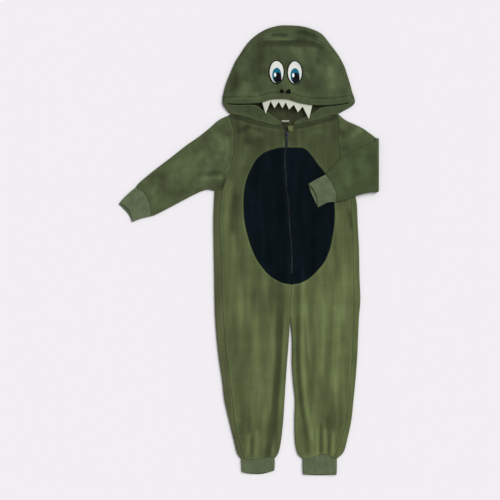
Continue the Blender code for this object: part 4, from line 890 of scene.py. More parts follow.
def plate_rings(loops, low, high, radius):
    """(points, faces) of a flat plate with rounded edges. loops holds its outer edge, counter-clockwise, and then
    the edge of a hole with as many points if it has one."""
    rings = []
    for k, loop in enumerate(loops):
        ahead, behind = np.roll(loop, -1, axis=0) - loop, loop - np.roll(loop, 1, axis=0)
        way = ahead / np.linalg.norm(ahead, axis=1)[:, None] + behind / np.linalg.norm(behind, axis=1)[:, None]
        inward = np.stack([-way[:, 1], way[:, 0]], axis=1)
        inward /= np.linalg.norm(inward, axis=1)[:, None] * (1 if k == 0 else -1)
        rings.append([np.column_stack([loop + radius * (1 - math.sin(a)) * inward,
                                       np.full(len(loop), low + radius * (1 - math.cos(a)))])
                      for a in np.linspace(0, math.pi / 2, 4)]
                     + [np.column_stack([loop + radius * (1 - math.cos(a)) * inward,
                                         np.full(len(loop), high - radius * (1 - math.sin(a)))])
                        for a in np.linspace(0, math.pi / 2, 4)])
    count = len(loops[0])
    rows = rings[0] if len(loops) == 1 else rings[0] + rings[1][::-1]
    faces = []
    for r in range(len(rows) if len(loops) == 2 else len(rows) - 1):
        here, there = r * count, (r + 1) % len(rows) * count
        faces += [(here + j, here + (j + 1) % count, there + (j + 1) % count, there + j) for j in range(count)]
    if len(loops) == 1:
        faces += [tuple(range(count))[::-1], tuple(range((len(rows) - 1) * count, len(rows) * count))]
    return np.vstack(rows), faces


zip_tape = threads("zip_tape", (0.007, 0.011, 0.016, 1), 0.7, direction="X")
# The coil's tone swings in long patches from dark to light; the light patches are painted highlights along the chain.
zip_coil = yarn("zip_coil", (0.020, 0.030, 0.040, 1), roughness=0.3, gloss=0.5, scale=26.0, vary=0.9)
slider_paint = cast_metal("slider_paint", (0.012, 0.020, 0.026, 1))
navy_thread = yarn("navy_thread", (0.006, 0.010, 0.014, 1))
olive_thread = yarn("olive_thread", (0.075, 0.095, 0.042, 1))

for side, tape_name, end in ((-1, "zip_right", TAPE_END_RIGHT), (1, "zip_left", TAPE_END_LEFT)):
    line = np.vstack([[end], zip_run, TAPE_FOOT])
    gap = SEAM_GAP / 2
    section = [(gap, 0), (gap, TAPE), (TAPE_HALF - 0.2, TAPE), (TAPE_HALF, TAPE / 2), (TAPE_HALF - 0.2, 0)]
    points = np.vstack([[(x + side * u, y, TAPE_LEVEL + w) for u, w in section] for x, y in line])
    count = len(section)
    faces = [(k * count + j, k * count + (j + 1) % count, (k + 1) * count + (j + 1) % count, (k + 1) * count + j)
             for k in range(len(line) - 1) for j in range(count)]
    faces += [tuple(range(count))[::-1], tuple(range(len(points) - count, len(points)))]
    if side > 0:
        faces = [f[::-1] for f in faces]
    tape = add_piece(tape_name + "_tape", points, faces, zip_tape)
    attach(tape, "garment")
    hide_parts(tape_name)
    under = "back_right_cloth" if side < 0 else "back_left_cloth"
    start = line[0] + (line[1] - line[0]) * 0.12
    row = np.vstack([[start], line[1:-1]]) + [side * TOOTH_SIZE[1] * 0.46, TOOTH_PITCH / 4 * side]
    row = np.column_stack([row, np.full(len(row), TOOTH_LEVEL)])
    stitched(tape_name + "_coil", [row], TOOTH_PITCH, TOOTH_SIZE, zip_coil)

slider_points, slider_faces = plate_rings([points_along([*SLIDER_PLATE, SLIDER_PLATE[0]], 49)[:-1][::-1]],
                                          SLIDER_LEVEL, PLATE_TOP, 0.5)
slider_points[:, :2] += SLIDER_AT
arch = points_along(BRIDGE_PATH, 25)
way = np.gradient(arch, axis=0)
way /= np.linalg.norm(way, axis=1)[:, None]
angle = np.linspace(0, 2 * math.pi, 16, endpoint=False)
rings = []
for (y, z), (wy, wz) in zip(arch, way):
    u = BRIDGE_HALF[0] * np.sign(np.cos(angle)) * np.abs(np.cos(angle)) ** 0.6
    v = BRIDGE_HALF[1] * np.sign(np.sin(angle)) * np.abs(np.sin(angle)) ** 0.6
    rings.append(np.column_stack([SLIDER_AT[0] + u, SLIDER_AT[1] + y - wz * v, z + wy * v]))
base = len(slider_points)
count = len(angle)
slider_points = np.vstack([slider_points, *rings])
slider_faces += [(base + k * count + j, base + (k + 1) * count + j, base + (k + 1) * count + (j + 1) % count,
                  base + k * count + (j + 1) % count) for k in range(len(arch) - 1) for j in range(count)]
slider_faces += [tuple(base + j for j in range(count)),
                 tuple(base + (len(arch) - 1) * count + j for j in range(count))[::-1]]
post, post_faces = plate_rings([points_along([*SLIDER_POST, SLIDER_POST[0]], 17)[:-1]],
                               SLIDER_LEVEL - 1.0, SLIDER_LEVEL + 0.4, 0.25)
post[:, :2] += SLIDER_AT
slider_faces += [tuple(len(slider_points) + i for i in face) for face in post_faces]
slider = add_piece("zip_slider_body", np.vstack([slider_points, post]), slider_faces, slider_paint, sharp=40)
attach(slider, "garment")
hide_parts("zip_slider")

tab, tab_faces = plate_rings([points_along(PULL_TAB, 61)[:-1], points_along(PULL_HOLE, 61)[:-1]], -0.6, 0.6, 0.28)
tilt = -PULL_TILT
tab = np.column_stack([tab[:, 0], tab[:, 1] * math.cos(tilt) - tab[:, 2] * math.sin(tilt),
                       tab[:, 1] * math.sin(tilt) + tab[:, 2] * math.cos(tilt)])
pull = add_piece("zip_pull_tab", tab + [*SLIDER_AT, PIVOT_LEVEL], tab_faces, slider_paint, sharp=40)
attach(pull, "pull_tab")
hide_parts("zip_pull")

# The rows of stitches that hold the tape, a little way out from the chain on each side.
ZIP_STITCH_OUT = 5.6
for name, low, high, thread, slot in (("belly_zip_stitches", 88, 399, navy_thread, "belly"),
                                      ("chest_zip_stitches", 407, 446, olive_thread, "fleece")):
    rows = []
    for side in (-1, 1):
        y = np.arange(low, high, 1.5)
        beside = np.column_stack([np.interp(y, zip_run[::-1, 1], zip_run[::-1, 0]) + side * ZIP_STITCH_OUT, y])
        rows.append(np.column_stack([beside, top_of(front_height, beside) + 0.1]))
    stitched(name, rows, 3.1, (2.5, 0.5, 0.42), thread)

# Zip guard and label. A scrap of the fleece is folded over the top end of the tape on the wearer's left, and a short
# plain woven tab is sewn in at the back of the neck.
GUARD = [(1.5, 441), (12, 441), (12, 454), (-1.5, 454)]
GUARD_WALL = 1.2
LABEL_CENTRE = (-6, 465)
LABEL_SIZE = (18, 4.4)
LABEL_WALL = 0.8


def add_on(name, outline, under, wall, rounded, material, spacing=1.6):
    """(piece, area) of a thin piece laid on another: its lower face follows the height function under, and its upper
    edge is rounded."""
    if len(outline) < 20:
        outline = points_along([*outline, outline[0]], max(24, len(outline) * 12))[:-1]
    rows = rows_inside(outline, (0.3 * rounded, 0.9 * rounded))
    p, triangles = triangulated(outline, np.vstack([lattice(outline, spacing, spacing, 1.3 * rounded), rows]))
    depth, _ = nearest_on(p, [closed(outline)])
    low = under(p)
    top = np.column_stack([p, low + wall - rounding(depth, rounded)])
    points, faces, _ = wall_mesh(top, np.column_stack([p, low]), triangles)
    piece = add_piece(name, points, faces, material)
    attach(piece, "garment")
    return piece, skin_area(top, triangles) * MM * MM


guard_velour = velour("guard_velour", (0.100, 0.112, 0.042, 1), (0.148, 0.166, 0.066, 1), 60.0, 0.2, 2.0)
guard, area = add_on("zip_guard_fold", GUARD, lambda p: top_of(front_height, p) + 0.3, GUARD_WALL, 0.9,
                     guard_velour)
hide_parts("zip_guard")

label_weave = threads("label_weave", (0.34, 0.36, 0.27, 1), 0.45, roughness=0.8, gloss=0.2, direction="X")
(x, y), (width, height) = LABEL_CENTRE, LABEL_SIZE
corners = [(x - width / 2, y - height / 2), (x + width / 2, y - height / 2), (x + width / 2, y + height / 2),
           (x - width / 2, y + height / 2)]
label, area = add_on("neck_label_tab", corners, lambda p: np.full(len(p), FLEECE + 0.3), LABEL_WALL, 0.4,
                     label_weave, 1.0)
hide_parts("neck_label")

# Sleeves. Each is one piece, folded along its upper edge and closed by the underarm seam. The right one lies straight
# out, and the left one is turned back at the elbow, so that its forearm lies on the chest.
SLEEVE_PUFF = 0.6
PUFF_REACH = 28.0
CUFF_SEAM_RIGHT = [(-358, 309.5), (-342, 301), (-330, 284), (-323.5, 264), (-321, 241.5)]
SLEEVE_CREASES = [
    Crease(-1.5, 5, [(-222, 336), (-180, 342), (-142, 343)]),
    Crease(1.7, 5, [(-216, 326), (-180, 330), (-142, 332)]),
    Crease(-0.9, 7, [(-232, 384), (-205, 398), (-176, 410)]),
    Crease(1.8, 8, [(-168, 440), (-158, 416), (-152, 388)]),
    Crease(-1.6, 6, [(-150, 326), (-160, 312), (-170, 300), (-182, 288)]),
    Crease(-0.7, 8, [(-292, 352), (-296, 320), (-300, 290)]),
    Crease(1.2, 9, [(-180, 420), (-214, 372), (-226, 330)]),
    Crease(1.2, 10, [(-160, 396), (-188, 350), (-196, 318)]),
    Crease(1.0, 9, [(-250, 380), (-276, 330), (-280, 290)]),
    Crease(1.1, 7, [(-306, 338), (-316, 300), (-312, 262)]),
    Crease(-2.4, 4, [(-160, 286), (-154, 308), (-147, 346)]),
    Crease(1.6, 5, [(-150, 440), (-142, 400), (-150, 352)]),
]
FOREARM_CREASES = [
    Crease(1.2, 10, [(182, 396), (168, 350), (172, 306)]),
    Crease(1.1, 9, [(144, 378), (140, 330), (146, 292)]),
]
UPPER_ARM_CREASES = [
    Crease(-2.4, 6, [(114, 474), (116, 450), (130, 426)]),
    Crease(2.4, 7, [(176, 452), (162, 440), (146, 424)]),
]
SLEEVE_UNEVEN = [(1.5, 36, 32, 5.3), (0.7, 14, 16, 6.1)]
FOREARM_UNEVEN = [(1.6, 34, 30, 7.7)]
UPPER_ARM_UNEVEN = [(2.2, 24, 22, 9.4)]
ELBOW_EDGE = 213.5
LAYER_GAP = 0.3
ELBOW_LEVEL = TOP + LAYER_GAP / 2
ELBOW_BEND = 3.3
ELBOW_STATIONS = 9
ELBOW_TOP = 425
ELBOW_UNDER = 298
FOREARM_TOP = [(204, 417.5), (169, 400), (125, 378), (106, 360), (88, 339)]
FOREARM_UNDER = [(204, 297), (193, 297), (162, 290), (139, 281), (113, 275)]
FOREARM_CUFF_SEAM = [(88, 339), (102, 321), (112, 301), (113, 275)]


def sleeve_height(p, s):
    """(level, relief) of the outstretched sleeve, which fills out away from the armhole and flattens at the cuff."""
    from_body = smooth_step((-140 - p[:, 0]) / 60)
    to_cuff = smooth_step((p[:, 0] + 335) / 60)
    puff = SLEEVE_PUFF * (1 - np.exp(-s / PUFF_REACH)) * from_body * to_cuff
    relief = crease_height(p, SLEEVE_CREASES) + unevenness(p, SLEEVE_UNEVEN)
    return puff + sunk(s) * (1 - from_body), relief * smooth_step(s / 12)


def unfolded(points):
    """Points of the laid forearm where they lie before the sleeve is turned back."""
    mirror = ELBOW_EDGE - ELBOW_LEVEL + math.pi * ELBOW_BEND / 2
    p = np.array(points, float)
    return np.column_stack([2 * mirror - p[:, 0], p[:, 1]])


def forearm_height(p, s):
    """The lower layer of the unfolded sleeve is the forearm's upper face once it is turned back."""
    past = smooth_step((p[:, 0] - ELBOW_EDGE - 8) / 30)
    laid_at = unfolded(p)
    to_cuff = smooth_step((laid_at[:, 0] - 100) / 40)
    puff = SLEEVE_PUFF * (1 - np.exp(-s / PUFF_REACH)) * to_cuff
    relief = crease_height(laid_at, FOREARM_CREASES) + unevenness(p, FOREARM_UNEVEN)
    return past * puff, past * relief * smooth_step(s / 12)


def upper_arm_height(p, s):
    """The upper arm is pressed down under the forearm, and fills out towards the shoulder."""
    free = smooth_step((p[:, 1] - 395 - 0.42 * (p[:, 0] - 150)) / 18) * smooth_step((212 - p[:, 0]) / 14)
    relief = crease_height(p, UPPER_ARM_CREASES) + unevenness(p, UPPER_ARM_UNEVEN)
    return np.zeros(len(p)), relief * free * smooth_step(s / 12)


def elbow_bend(points):
    """The unfolded sleeve's points turned back over the elbow edge, upper arm beneath and forearm on top."""
    start = ELBOW_EDGE - ELBOW_LEVEL
    length = math.pi * ELBOW_BEND
    past = points[:, 0] - start
    angle = np.clip(past, 0, length) / ELBOW_BEND
    radius = ELBOW_LEVEL - points[:, 2]
    x = start + np.minimum(past, 0) + radius * np.sin(angle) - np.maximum(past - length, 0)
    return np.column_stack([x, points[:, 1], ELBOW_LEVEL - radius * np.cos(angle)])


SLEEVE_DARK = (0.051, 0.067, 0.027, 1)
SLEEVE_LIGHT = (0.090, 0.115, 0.050, 1)
FOREARM_FADE = (452, 404, (0.62, 0.67, 0.63, 1))
sleeve_velour = velour("sleeve_velour", SLEEVE_DARK, SLEEVE_LIGHT, 42.0, 0.15, 7.0)
forearm_velour = velour("forearm_velour", (0.061, 0.080, 0.032, 1), (0.108, 0.138, 0.060, 1), 42.0, 0.15, 8.0,
                        FOREARM_FADE)

to_underarm = run([SIDE_SEAM_RIGHT[0], UNDERARM_RIGHT])
sleeve_ends = (run(SLEEVE_TOP_RIGHT), run(CUFF_SEAM_RIGHT), run(SLEEVE_UNDER_RIGHT)[::-1])
sew("sleeve_right", [Panel(joined(*sleeve_ends, to_underarm[::-1], run(ARMHOLE_RIGHT)[::-1]), "top",
                           sleeve_height, FLEECE, FINE),
                     Panel(joined(*sleeve_ends, run(BACK_ARMHOLE_RIGHT)[::-1]), "under", flat_height, FLEECE,
                           ROUGH)],
    sleeve_velour)

stations = ELBOW_EDGE - ELBOW_LEVEL + np.linspace(0, math.pi * ELBOW_BEND, ELBOW_STATIONS)
under_edge = joined(run(UPPER_ARM_UNDER), np.column_stack([stations, np.full(ELBOW_STATIONS, ELBOW_UNDER)]),
                    run(unfolded(FOREARM_UNDER)))
top_edge = joined(run(UPPER_ARM_TOP), np.column_stack([stations, np.full(ELBOW_STATIONS, ELBOW_TOP)]),
                  run(unfolded(FOREARM_TOP)))
LEFT_FOLDS = [joined(run(SIDE_LEFT)[::-1], under_edge, run(unfolded(WRIST_LEFT_SIDES[1]))),
              joined(run(unfolded(WRIST_LEFT_SIDES[0]))[::-1], top_edge[::-1], run(HOOD_SIDE_LEFT)[::-1])]
rows = np.concatenate([[ELBOW_UNDER + d for d in ROLL_ROWS], np.arange(ELBOW_UNDER + 6, ELBOW_TOP - 5, 4),
                       [ELBOW_TOP - d for d in ROLL_ROWS[::-1]]])
elbow_columns = np.array([(x, y) for x in stations for y in rows])
cuff_seam = run(unfolded(FOREARM_CUFF_SEAM))
sew("sleeve_left", [Panel(joined(under_edge, cuff_seam[::-1], top_edge[::-1], run(ARMHOLE_LEFT),
                                 run([SIDE_SEAM_LEFT[0], UNDERARM_LEFT])), "top", upper_arm_height, FLEECE, FINE),
                    Panel(joined(under_edge, cuff_seam[::-1], top_edge[::-1], run(BACK_ARMHOLE_LEFT)),
                          "under", forearm_height, FLEECE, FINE)],
    forearm_velour, LEFT_FOLDS, elbow_bend, [elbow_columns])

# Cuffs. Each is a tube of doubled rib knit, sewn on at its open edges, with the fold at its mouth. The layer that is
# uppermost stops a little short at the wrists, so the mouth and the far layer show.
RIB = 2.0
RIB_PITCH = 2.7
RIB_RELIEF = 0.32
RIB_SAMPLES = 6
CUFF_ROWS = 9
MOUTH_ROWS = 4
CUFF_ENDS = [
    ("wrist_cuff_right", WRIST_RIGHT_SIDES, CUFF_SEAM_RIGHT,
     [(-397.5, 270), (-386, 258), (-375.5, 246.5), (-365.5, 228)],
     [(-397.5, 270), (-383, 265.5), (-372, 252), (-365.5, 228)]),
    ("ankle_cuff_right", ANKLE_RIGHT_SIDES, LEG_END_RIGHT,
     [(-109, -359), (-92, -363.5), (-61, -364), (-32, -356)],
     [(-109, -359), (-90, -361.5), (-61, -361), (-32, -356)]),
    ("ankle_cuff_left", ANKLE_LEFT_SIDES, LEG_END_LEFT,
     [(35, -365), (60, -367), (88, -367), (114, -366)],
     [(35, -365), (60, -364.5), (88, -364.5), (114, -366)]),
]
WRIST_LEFT_MOUTH = [(47, 317), (53, 299), (61, 281), (70, 262)]
WRIST_LEFT_LIP = [(47, 317), (61, 302), (68, 284), (70, 262)]


def knit_bumps(name, dark, light):
    """Rib knit between two colours: fine stitches up each rib over a soft unevenness, and painted shade in the
    grooves between the ribs.
    """
    material, tree, place = new_material(name)
    cloud = add_node(tree, "ShaderNodeTexNoise", {"Vector": place, "Scale": 60.0, "Detail": 3.0}).outputs[0]
    loop = add_node(tree, "ShaderNodeTexVoronoi", {"Vector": place, "Scale": 900.0}).outputs["Distance"]
    ridge = add_node(tree, "ShaderNodeAttribute", attribute_name="relief").outputs["Fac"]
    colour = mix_colour(tree, spread(tree, cloud, 0.35, 0.65), dark, light)
    # Painted shade: the grooves between the ribs, read from the relief attribute, are darkened.
    colour = mix_colour(tree, 1.0, colour, spread(tree, ridge, -1.0, 0.6, 0.45, 1.0), "MULTIPLY")
    shade(tree, colour, loop, 0.35, 0.4, Roughness=0.9, Sheen_Weight=0.15)
    return material


rib_knit = knit_bumps("rib_knit", (0.102, 0.136, 0.062, 1), (0.142, 0.182, 0.090, 1))


def knit_cuff(name, sides, seam, mouth, lip, lip_on_top=True, bend=None):
    """A cuff's laid tube: ribs run from the seam to the mouth all round it, and its mouth is a rounded fold."""
    right, left = run(sides[0], 1), run(sides[1], 1)
    width = np.linalg.norm(right[0] - left[0])
    ribs = max(8, round(width / RIB_PITCH))
    count = ribs * RIB_SAMPLES
    even = np.linspace(0, 1, count + 1)
    roll = ROLL / width
    across = np.where(even < roll, even**2 / (2 * roll), np.where(even > 1 - roll, 1 - (1 - even) ** 2 / (2 * roll),
                      roll / 2 + (even - roll) * (1 - roll) / (1 - 2 * roll)))
    turn, rise = rolled(np.minimum(across, 1 - across) * width)
    ridge = np.cos(2 * math.pi * ribs * even)
    direction = (left[0] - right[0]) / width
    rows_of = {}
    for layer in ("top", "under"):
        end = lip if (layer == "top") == lip_on_top else mouth
        start_line, end_line = run(seam, 1), run(end, 1)
        start, stop = (np.stack([np.interp(across, np.linspace(0, 1, len(line)), line[:, k]) for k in (0, 1)], 1)
                       for line in (start_line, end_line))
        sign = 1 if layer == "top" else -1
        along_side = [points_along(right, CUFF_ROWS), points_along(left, CUFF_ROWS)]
        rows_of[layer] = []
        for k, v in enumerate(np.linspace(0, 1, CUFF_ROWS)):
            straight = start * (1 - v) + stop * v
            bow = (along_side[0][k] - (right[0] * (1 - v) + right[-1] * v)) * (1 - across)[:, None]
            bow += (along_side[1][k] - (left[0] * (1 - v) + left[-1] * v)) * across[:, None]
            p = straight + bow
            pinch = 0.9 * math.exp(-((v * CUFF_ROWS / 1.2) ** 2))
            z = ROLL + sign * (ROLL * rise - pinch * rise)
            out = np.column_stack([np.where(across < 0.5, -1, 1)[:, None] * direction * turn[:, None], sign * rise])
            face = np.column_stack([p, z])
            rows_of[layer].append((face, out))
    ring_faces, ring_outs = [], []
    for (top_face, top_out), (under_face, under_out) in zip(rows_of["top"], rows_of["under"]):
        ring_faces.append(np.vstack([top_face[:-1], under_face[::-1][:-1]]))
        ring_outs.append(np.vstack([top_out[:-1], under_out[::-1][:-1]]))
    ridges = np.concatenate([ridge[:-1], ridge[::-1][:-1]])
    onward = ring_faces[-1] - ring_faces[-2]
    onward /= np.linalg.norm(onward, axis=1)[:, None]
    outer = [f + RIB_RELIEF * (ridges - 1)[:, None] * o for f, o in zip(ring_faces, ring_outs)]
    inner = [f - RIB * o for f, o in zip(ring_faces, ring_outs)]
    shaped = outer[:-1]
    last, out = ring_faces[-1] - onward * RIB / 2, ring_outs[-1]
    for turn_by in np.linspace(0, math.pi, MOUTH_ROWS + 2):
        lifted = RIB / 2 * (math.cos(turn_by) - 1) + RIB_RELIEF * (ridges - 1) * math.cos(turn_by / 2)
        shaped.append(last + lifted[:, None] * out + RIB / 2 * math.sin(turn_by) * onward)
    shaped += inner[-2::-1]
    loop = len(shaped[0])
    points = np.vstack(shaped)
    faces = []
    for k in range(len(shaped)):
        here, there = k * loop, (k + 1) % len(shaped) * loop
        faces += [(here + j, here + (j + 1) % loop, there + (j + 1) % loop, there + j) for j in range(loop)]
    a, b, c = points[[f[0] for f in faces]], points[[f[1] for f in faces]], points[[f[3] for f in faces]]
    volume = np.einsum("ij,ij->i", np.cross(a, b), c).sum()
    if volume < 0:
        faces = [f[::-1] for f in faces]
    piece = add_piece(name + "_knit", bend(points) if bend else points, faces, rib_knit)
    # The ridges go to the material, which darkens the grooves between them as painted shade.
    set_attribute(piece, "relief", np.tile(ridges, len(shaped)))
    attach(piece, "garment")
    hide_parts(name)
    return piece


for name, sides, seam, mouth, lip in CUFF_ENDS:
    knit_cuff(name, sides, seam, mouth, lip)
knit_cuff("wrist_cuff_left", [unfolded(side) for side in WRIST_LEFT_SIDES], unfolded(FOREARM_CUFF_SEAM),
          unfolded(WRIST_LEFT_MOUTH), unfolded(WRIST_LEFT_LIP), lip_on_top=False, bend=elbow_bend)

# Hood. A face panel runs over the head from one side of the neck to the other, with a hem turned along the face edge,
# and a back rolls over the crown as far as the crown seam. The hood stands in a low dome over its own back.
HEM = 3.8
HEM_DEPTH = 16.0
HEM_EASE = 5.0
HOOD_LOFT = 21.0
HOOD_REACH = 42.0
HOOD_FLAP_LEVEL = 462.0
HOOD_BRIM_LEVEL = 520.0
STITCH_GROOVE = 1.7
HEM_ROLL = 0.9
CROWN_SEAM = [(-109, 616.5), (-98, 634), (-84, 648), (-56, 657), (-19, 659), (28, 659), (60, 656), (84, 647),
              (101, 634), (114, 615.5)]
BRIM = [(-142, 506), (-113, 505), (-85, 505.5), (-61, 508), (-43, 514), (-22, 515.8), (-2, 515.2), (12, 511.5),
        (25, 507.2), (38, 504.6), (56, 502), (89, 501.7), (118, 504), (142, 508)]
FLAP_EDGE_RIGHT = [(-142, 504), (-118, 502.6), (-94, 503), (-77, 502), (-67, 496.5), (-60, 490.5), (-46, 484),
                   (-31, 474), (-17, 464)]
FLAP_EDGE_LEFT = [(142, 506), (118, 501.8), (92, 499), (76, 496), (67, 490), (59, 484.5), (42, 476), (21, 467),
                  (14, 463)]
HOOD_CREASES = [
    Crease(-4.2, 6, [(-92, 636), (-66, 645), (-20, 647), (30, 647), (62, 643), (94, 630)]),
    Crease(2.6, 5, [(-50, 653), (-16, 655.5), (24, 655)]),
    Crease(-2.6, 4, [(-46, 664), (-20, 666), (4, 664)]),
    Crease(-3.0, 5, [(14, 676), (45, 669), (78, 657)]),
    Crease(3.0, 12, [(-96, 560), (-104, 530), (-108, 508)]),
    Crease(2.6, 12, [(26, 645), (24, 622), (24, 590)]),
    Crease(-2.0, 9, [(72, 652), (71, 625), (68, 590)]),
    Crease(2.4, 9, [(94, 600), (99, 565), (98, 530)]),
    Crease(2.0, 6, [(38, 580), (44, 570), (52, 560)]),
    Crease(-0.8, 7, [(-60, 630), (-66, 600), (-64, 570)]),
    Crease(-0.8, 6, [(-128, 590), (-122, 560), (-128, 530)]),
]
HOOD_UNEVEN = [(2.4, 42, 48, 2.2), (0.9, 15, 22, 4.9)]
FACE_EDGES = [run(BRIM), run(FLAP_EDGE_RIGHT), run(FLAP_EDGE_LEFT)]


def hood_height(p, s):
    """(level, relief) of the hood's face, a low dome that comes down to the neck seam, with its hem stitched down."""
    to_brim = smooth_step((p[:, 1] - HOOD_FLAP_LEVEL) / (HOOD_BRIM_LEVEL - HOOD_FLAP_LEVEL))
    dome = HOOD_LOFT * (1 - np.exp(-s / HOOD_REACH)) * to_brim
    at_neck = sunk(s) * (1 - to_brim)
    away, _ = nearest_on(p, FACE_EDGES)
    groove = HEM_ROLL * np.exp(-(((away - HEM_DEPTH - 4) / 2.6) ** 2)) + HEM_ROLL * np.exp(-(((away - 11) / 3) ** 2))
    groove = (groove - STITCH_GROOVE * np.exp(-(((away - HEM_DEPTH) / 1.8) ** 2))) * to_brim
    groove *= 1 - np.exp(-(((p[:, 0] + 7) / 17) ** 4)) * smooth_step((p[:, 1] - 505) / 10)
    relief = crease_height(p, HOOD_CREASES) + unevenness(p, HOOD_UNEVEN)
    ease = smooth_step(s / 12) * (0.25 + 0.75 * smooth_step((away - 4) / 16)) * (0.3 + 0.7 * to_brim)
    return dome + at_neck, relief * ease + groove


def hood_wall(p):
    """The hood's wall is a turned hem along the face edge and one thickness of fleece behind it."""
    away, _ = nearest_on(p, FACE_EDGES)
    return FLEECE + (HEM - FLEECE) * smooth_step((HEM_DEPTH - away) / HEM_EASE)


HOOD_DARK = (0.040, 0.054, 0.022, 1)
HOOD_LIGHT = (0.081, 0.104, 0.047, 1)
hood_velour = velour("hood_velour", HOOD_DARK, HOOD_LIGHT, 34.0, 0.3, 11.0)

side_right, side_left, crown = run(HOOD_SIDE_RIGHT), run(HOOD_SIDE_LEFT), run(HOOD_CROWN)
crown_seam = joined(run([HOOD_CROWN[0], CROWN_SEAM[0]]), run(CROWN_SEAM), run([CROWN_SEAM[-1], HOOD_CROWN[-1]]))
face_panel = joined(side_left[::-1], crown_seam[::-1], side_right[::-1], run(NECK_SEAM_RIGHT),
                    run(FLAP_EDGE_RIGHT)[::-1], run(BRIM), run(FLAP_EDGE_LEFT), run(NECK_SEAM_LEFT)[::-1])
sew("hood_face", [Panel(face_panel, "edge", hood_height, hood_wall, FINE)], hood_velour)
sew("hood_back", [Panel(joined(crown_seam, crown[::-1]), "top", hood_height, FLEECE, FINE),
                  Panel(joined(run(BACK_NECK), side_left[::-1], crown[::-1], side_right[::-1]), "under",
                        flat_height, FLEECE, ROUGH)], hood_velour)

# The face on the hood: two satin-embroidered eyes and nostrils, and a row of felt teeth caught in the brim's hem.
EYE_HALF = (17.0, 26.4)
EYES = {"eye_right": (-26.8, 579), "eye_left": (15.8, 578)}
EYE_BASE = 0.9
IRIS = ((0.2, -7.4), (10.7, 17.6))
PUPIL = ((2.5, -13.6), (8.8, 13.1))
GLINT = ((-3.8, -6.6), (2.5, 4.9))
BORDER_HALF = (17.3, 27.0)
NOSTRILS = {"nostril_right": [(-20.0, 531.0), (-19.2, 534.6), (-16.7, 538.2), (-14.0, 538.9), (-11.2, 536.8),
                              (-9.4, 532.9), (-9.9, 530.4), (-14.5, 529.9)],
            "nostril_left": [(-6.2, 529.4), (-5.1, 532.9), (-1.9, 537.1), (1.6, 539.2), (4.8, 537.4), (6.1, 532.6),
                             (5.6, 528.8), (0.6, 528.3)]}
FELT = 1.5
HEM_TUCK = 6.0
TEETH_DROOP = 0.12
TEETH = [(-61, 509), (-53, 481), (-41, 511), (-32, 494.5), (-22, 509.5), (-13.5, 494.5), (-5.5, 508), (2, 491.5),
         (13.5, 502.5), (23, 485), (34, 498.5), (49, 469), (57, 503)]


def oval(centre, half, count=64):
    angle = np.linspace(0, 2 * math.pi, count, endpoint=False)
    return np.column_stack([centre[0] + half[0] * np.cos(angle), centre[1] + half[1] * np.sin(angle)])


def held_within(points, centre, half):
    """Points drawn in to an oval where they lie outside it."""
    off = (points - centre) / half
    reach = np.linalg.norm(off, axis=1)
    return centre + off / np.maximum(reach, 1)[:, None] * half


def hood_face_at(lift):
    return lambda p: top_of(hood_height, p) + lift


eye_white = threads("eye_white", (0.75, 0.76, 0.71, 1), 0.5, gloss=0.25, contrast=0.1)
eye_teal = threads("eye_teal", (0.0, 0.135, 0.215, 1), 0.5, gloss=0.1, contrast=0.3)
eye_black = threads("eye_black", (0.0022, 0.0020, 0.0045, 1), 0.5, gloss=0.06, contrast=0.5)
eye_border = yarn("eye_border", (0.0045, 0.0078, 0.0062, 1), gloss=0.12)
eye_glint = threads("eye_glint", (0.95, 0.96, 0.97, 1), 0.5, contrast=0.05)
for name, centre in EYES.items():
    centre = np.array(centre, float)
    patch, area = add_on(name + "_patch", oval(centre, EYE_HALF, 96), hood_face_at(0.3), EYE_BASE, 0.5, eye_white)
    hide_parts(name)
    for part, (offset, half), lift, thread in (("iris", IRIS, 0.0, eye_teal), ("pupil", PUPIL, 0.3, eye_black),
                                               ("glint", GLINT, 0.55, eye_glint)):
        edge = held_within(oval(centre + offset, half, 64), centre, np.array(EYE_HALF) - 0.9)
        layer, _ = add_on(name + "_" + part, edge, hood_face_at(0.3 + EYE_BASE - 0.1 + lift), 0.4, 0.25, thread,
                          1.2)
    rim = closed(oval(centre, BORDER_HALF, 160))
    border = stitched(name + "_border", [np.column_stack([rim, top_of(hood_height, rim) + 1.15])], 0.42,
                      (2.9, 0.62, 1.3), eye_border, across=True)

nostril_satin = threads("nostril_satin", (0.0026, 0.0019, 0.0022, 1), 0.5, gloss=0.06, contrast=0.5,
                        direction="X")
for name, edge in NOSTRILS.items():
    add_on(name + "_satin", run([*edge, edge[0]], 1.0)[:-1][::-1], hood_face_at(0.25), 0.8, 0.4, nostril_satin,
           0.9)


def felt_cloth(name, dark, light):
    """Pressed felt: short fibres in all directions, without a grain."""
    material, tree, place = new_material(name)
    warp = add_node(tree, "ShaderNodeTexNoise", {"Vector": place, "Scale": 320.0, "Detail": 4.0, "Distortion": 2.5})
    fibre = add_node(tree, "ShaderNodeTexNoise", {"Vector": place, "Scale": 1500.0, "Detail": 2.0})
    tone = add_node(tree, "ShaderNodeMix", {"Factor": 0.4, "A": warp.outputs[0], "B": fibre.outputs[0]}).outputs[0]
    shade(tree, mix_colour(tree, spread(tree, tone, 0.35, 0.65), dark, light), tone, 0.4, 0.3, Roughness=0.95,
          Sheen_Weight=0.1)
    return material


tooth_felt = felt_cloth("tooth_felt", (0.53, 0.56, 0.44, 1), (0.66, 0.68, 0.57, 1))
brim = run(BRIM)


def under_brim(p):
    """The teeth hang from inside the hem and droop a little below it."""
    edge_y = np.interp(p[:, 0], brim[:, 0], brim[:, 1])
    held = np.column_stack([p[:, 0], np.maximum(p[:, 1], edge_y + 1)])
    droop = TEETH_DROOP * np.maximum(edge_y - p[:, 1], 0)
    return top_of(hood_height, held) - HEM - 0.9 - FELT - droop


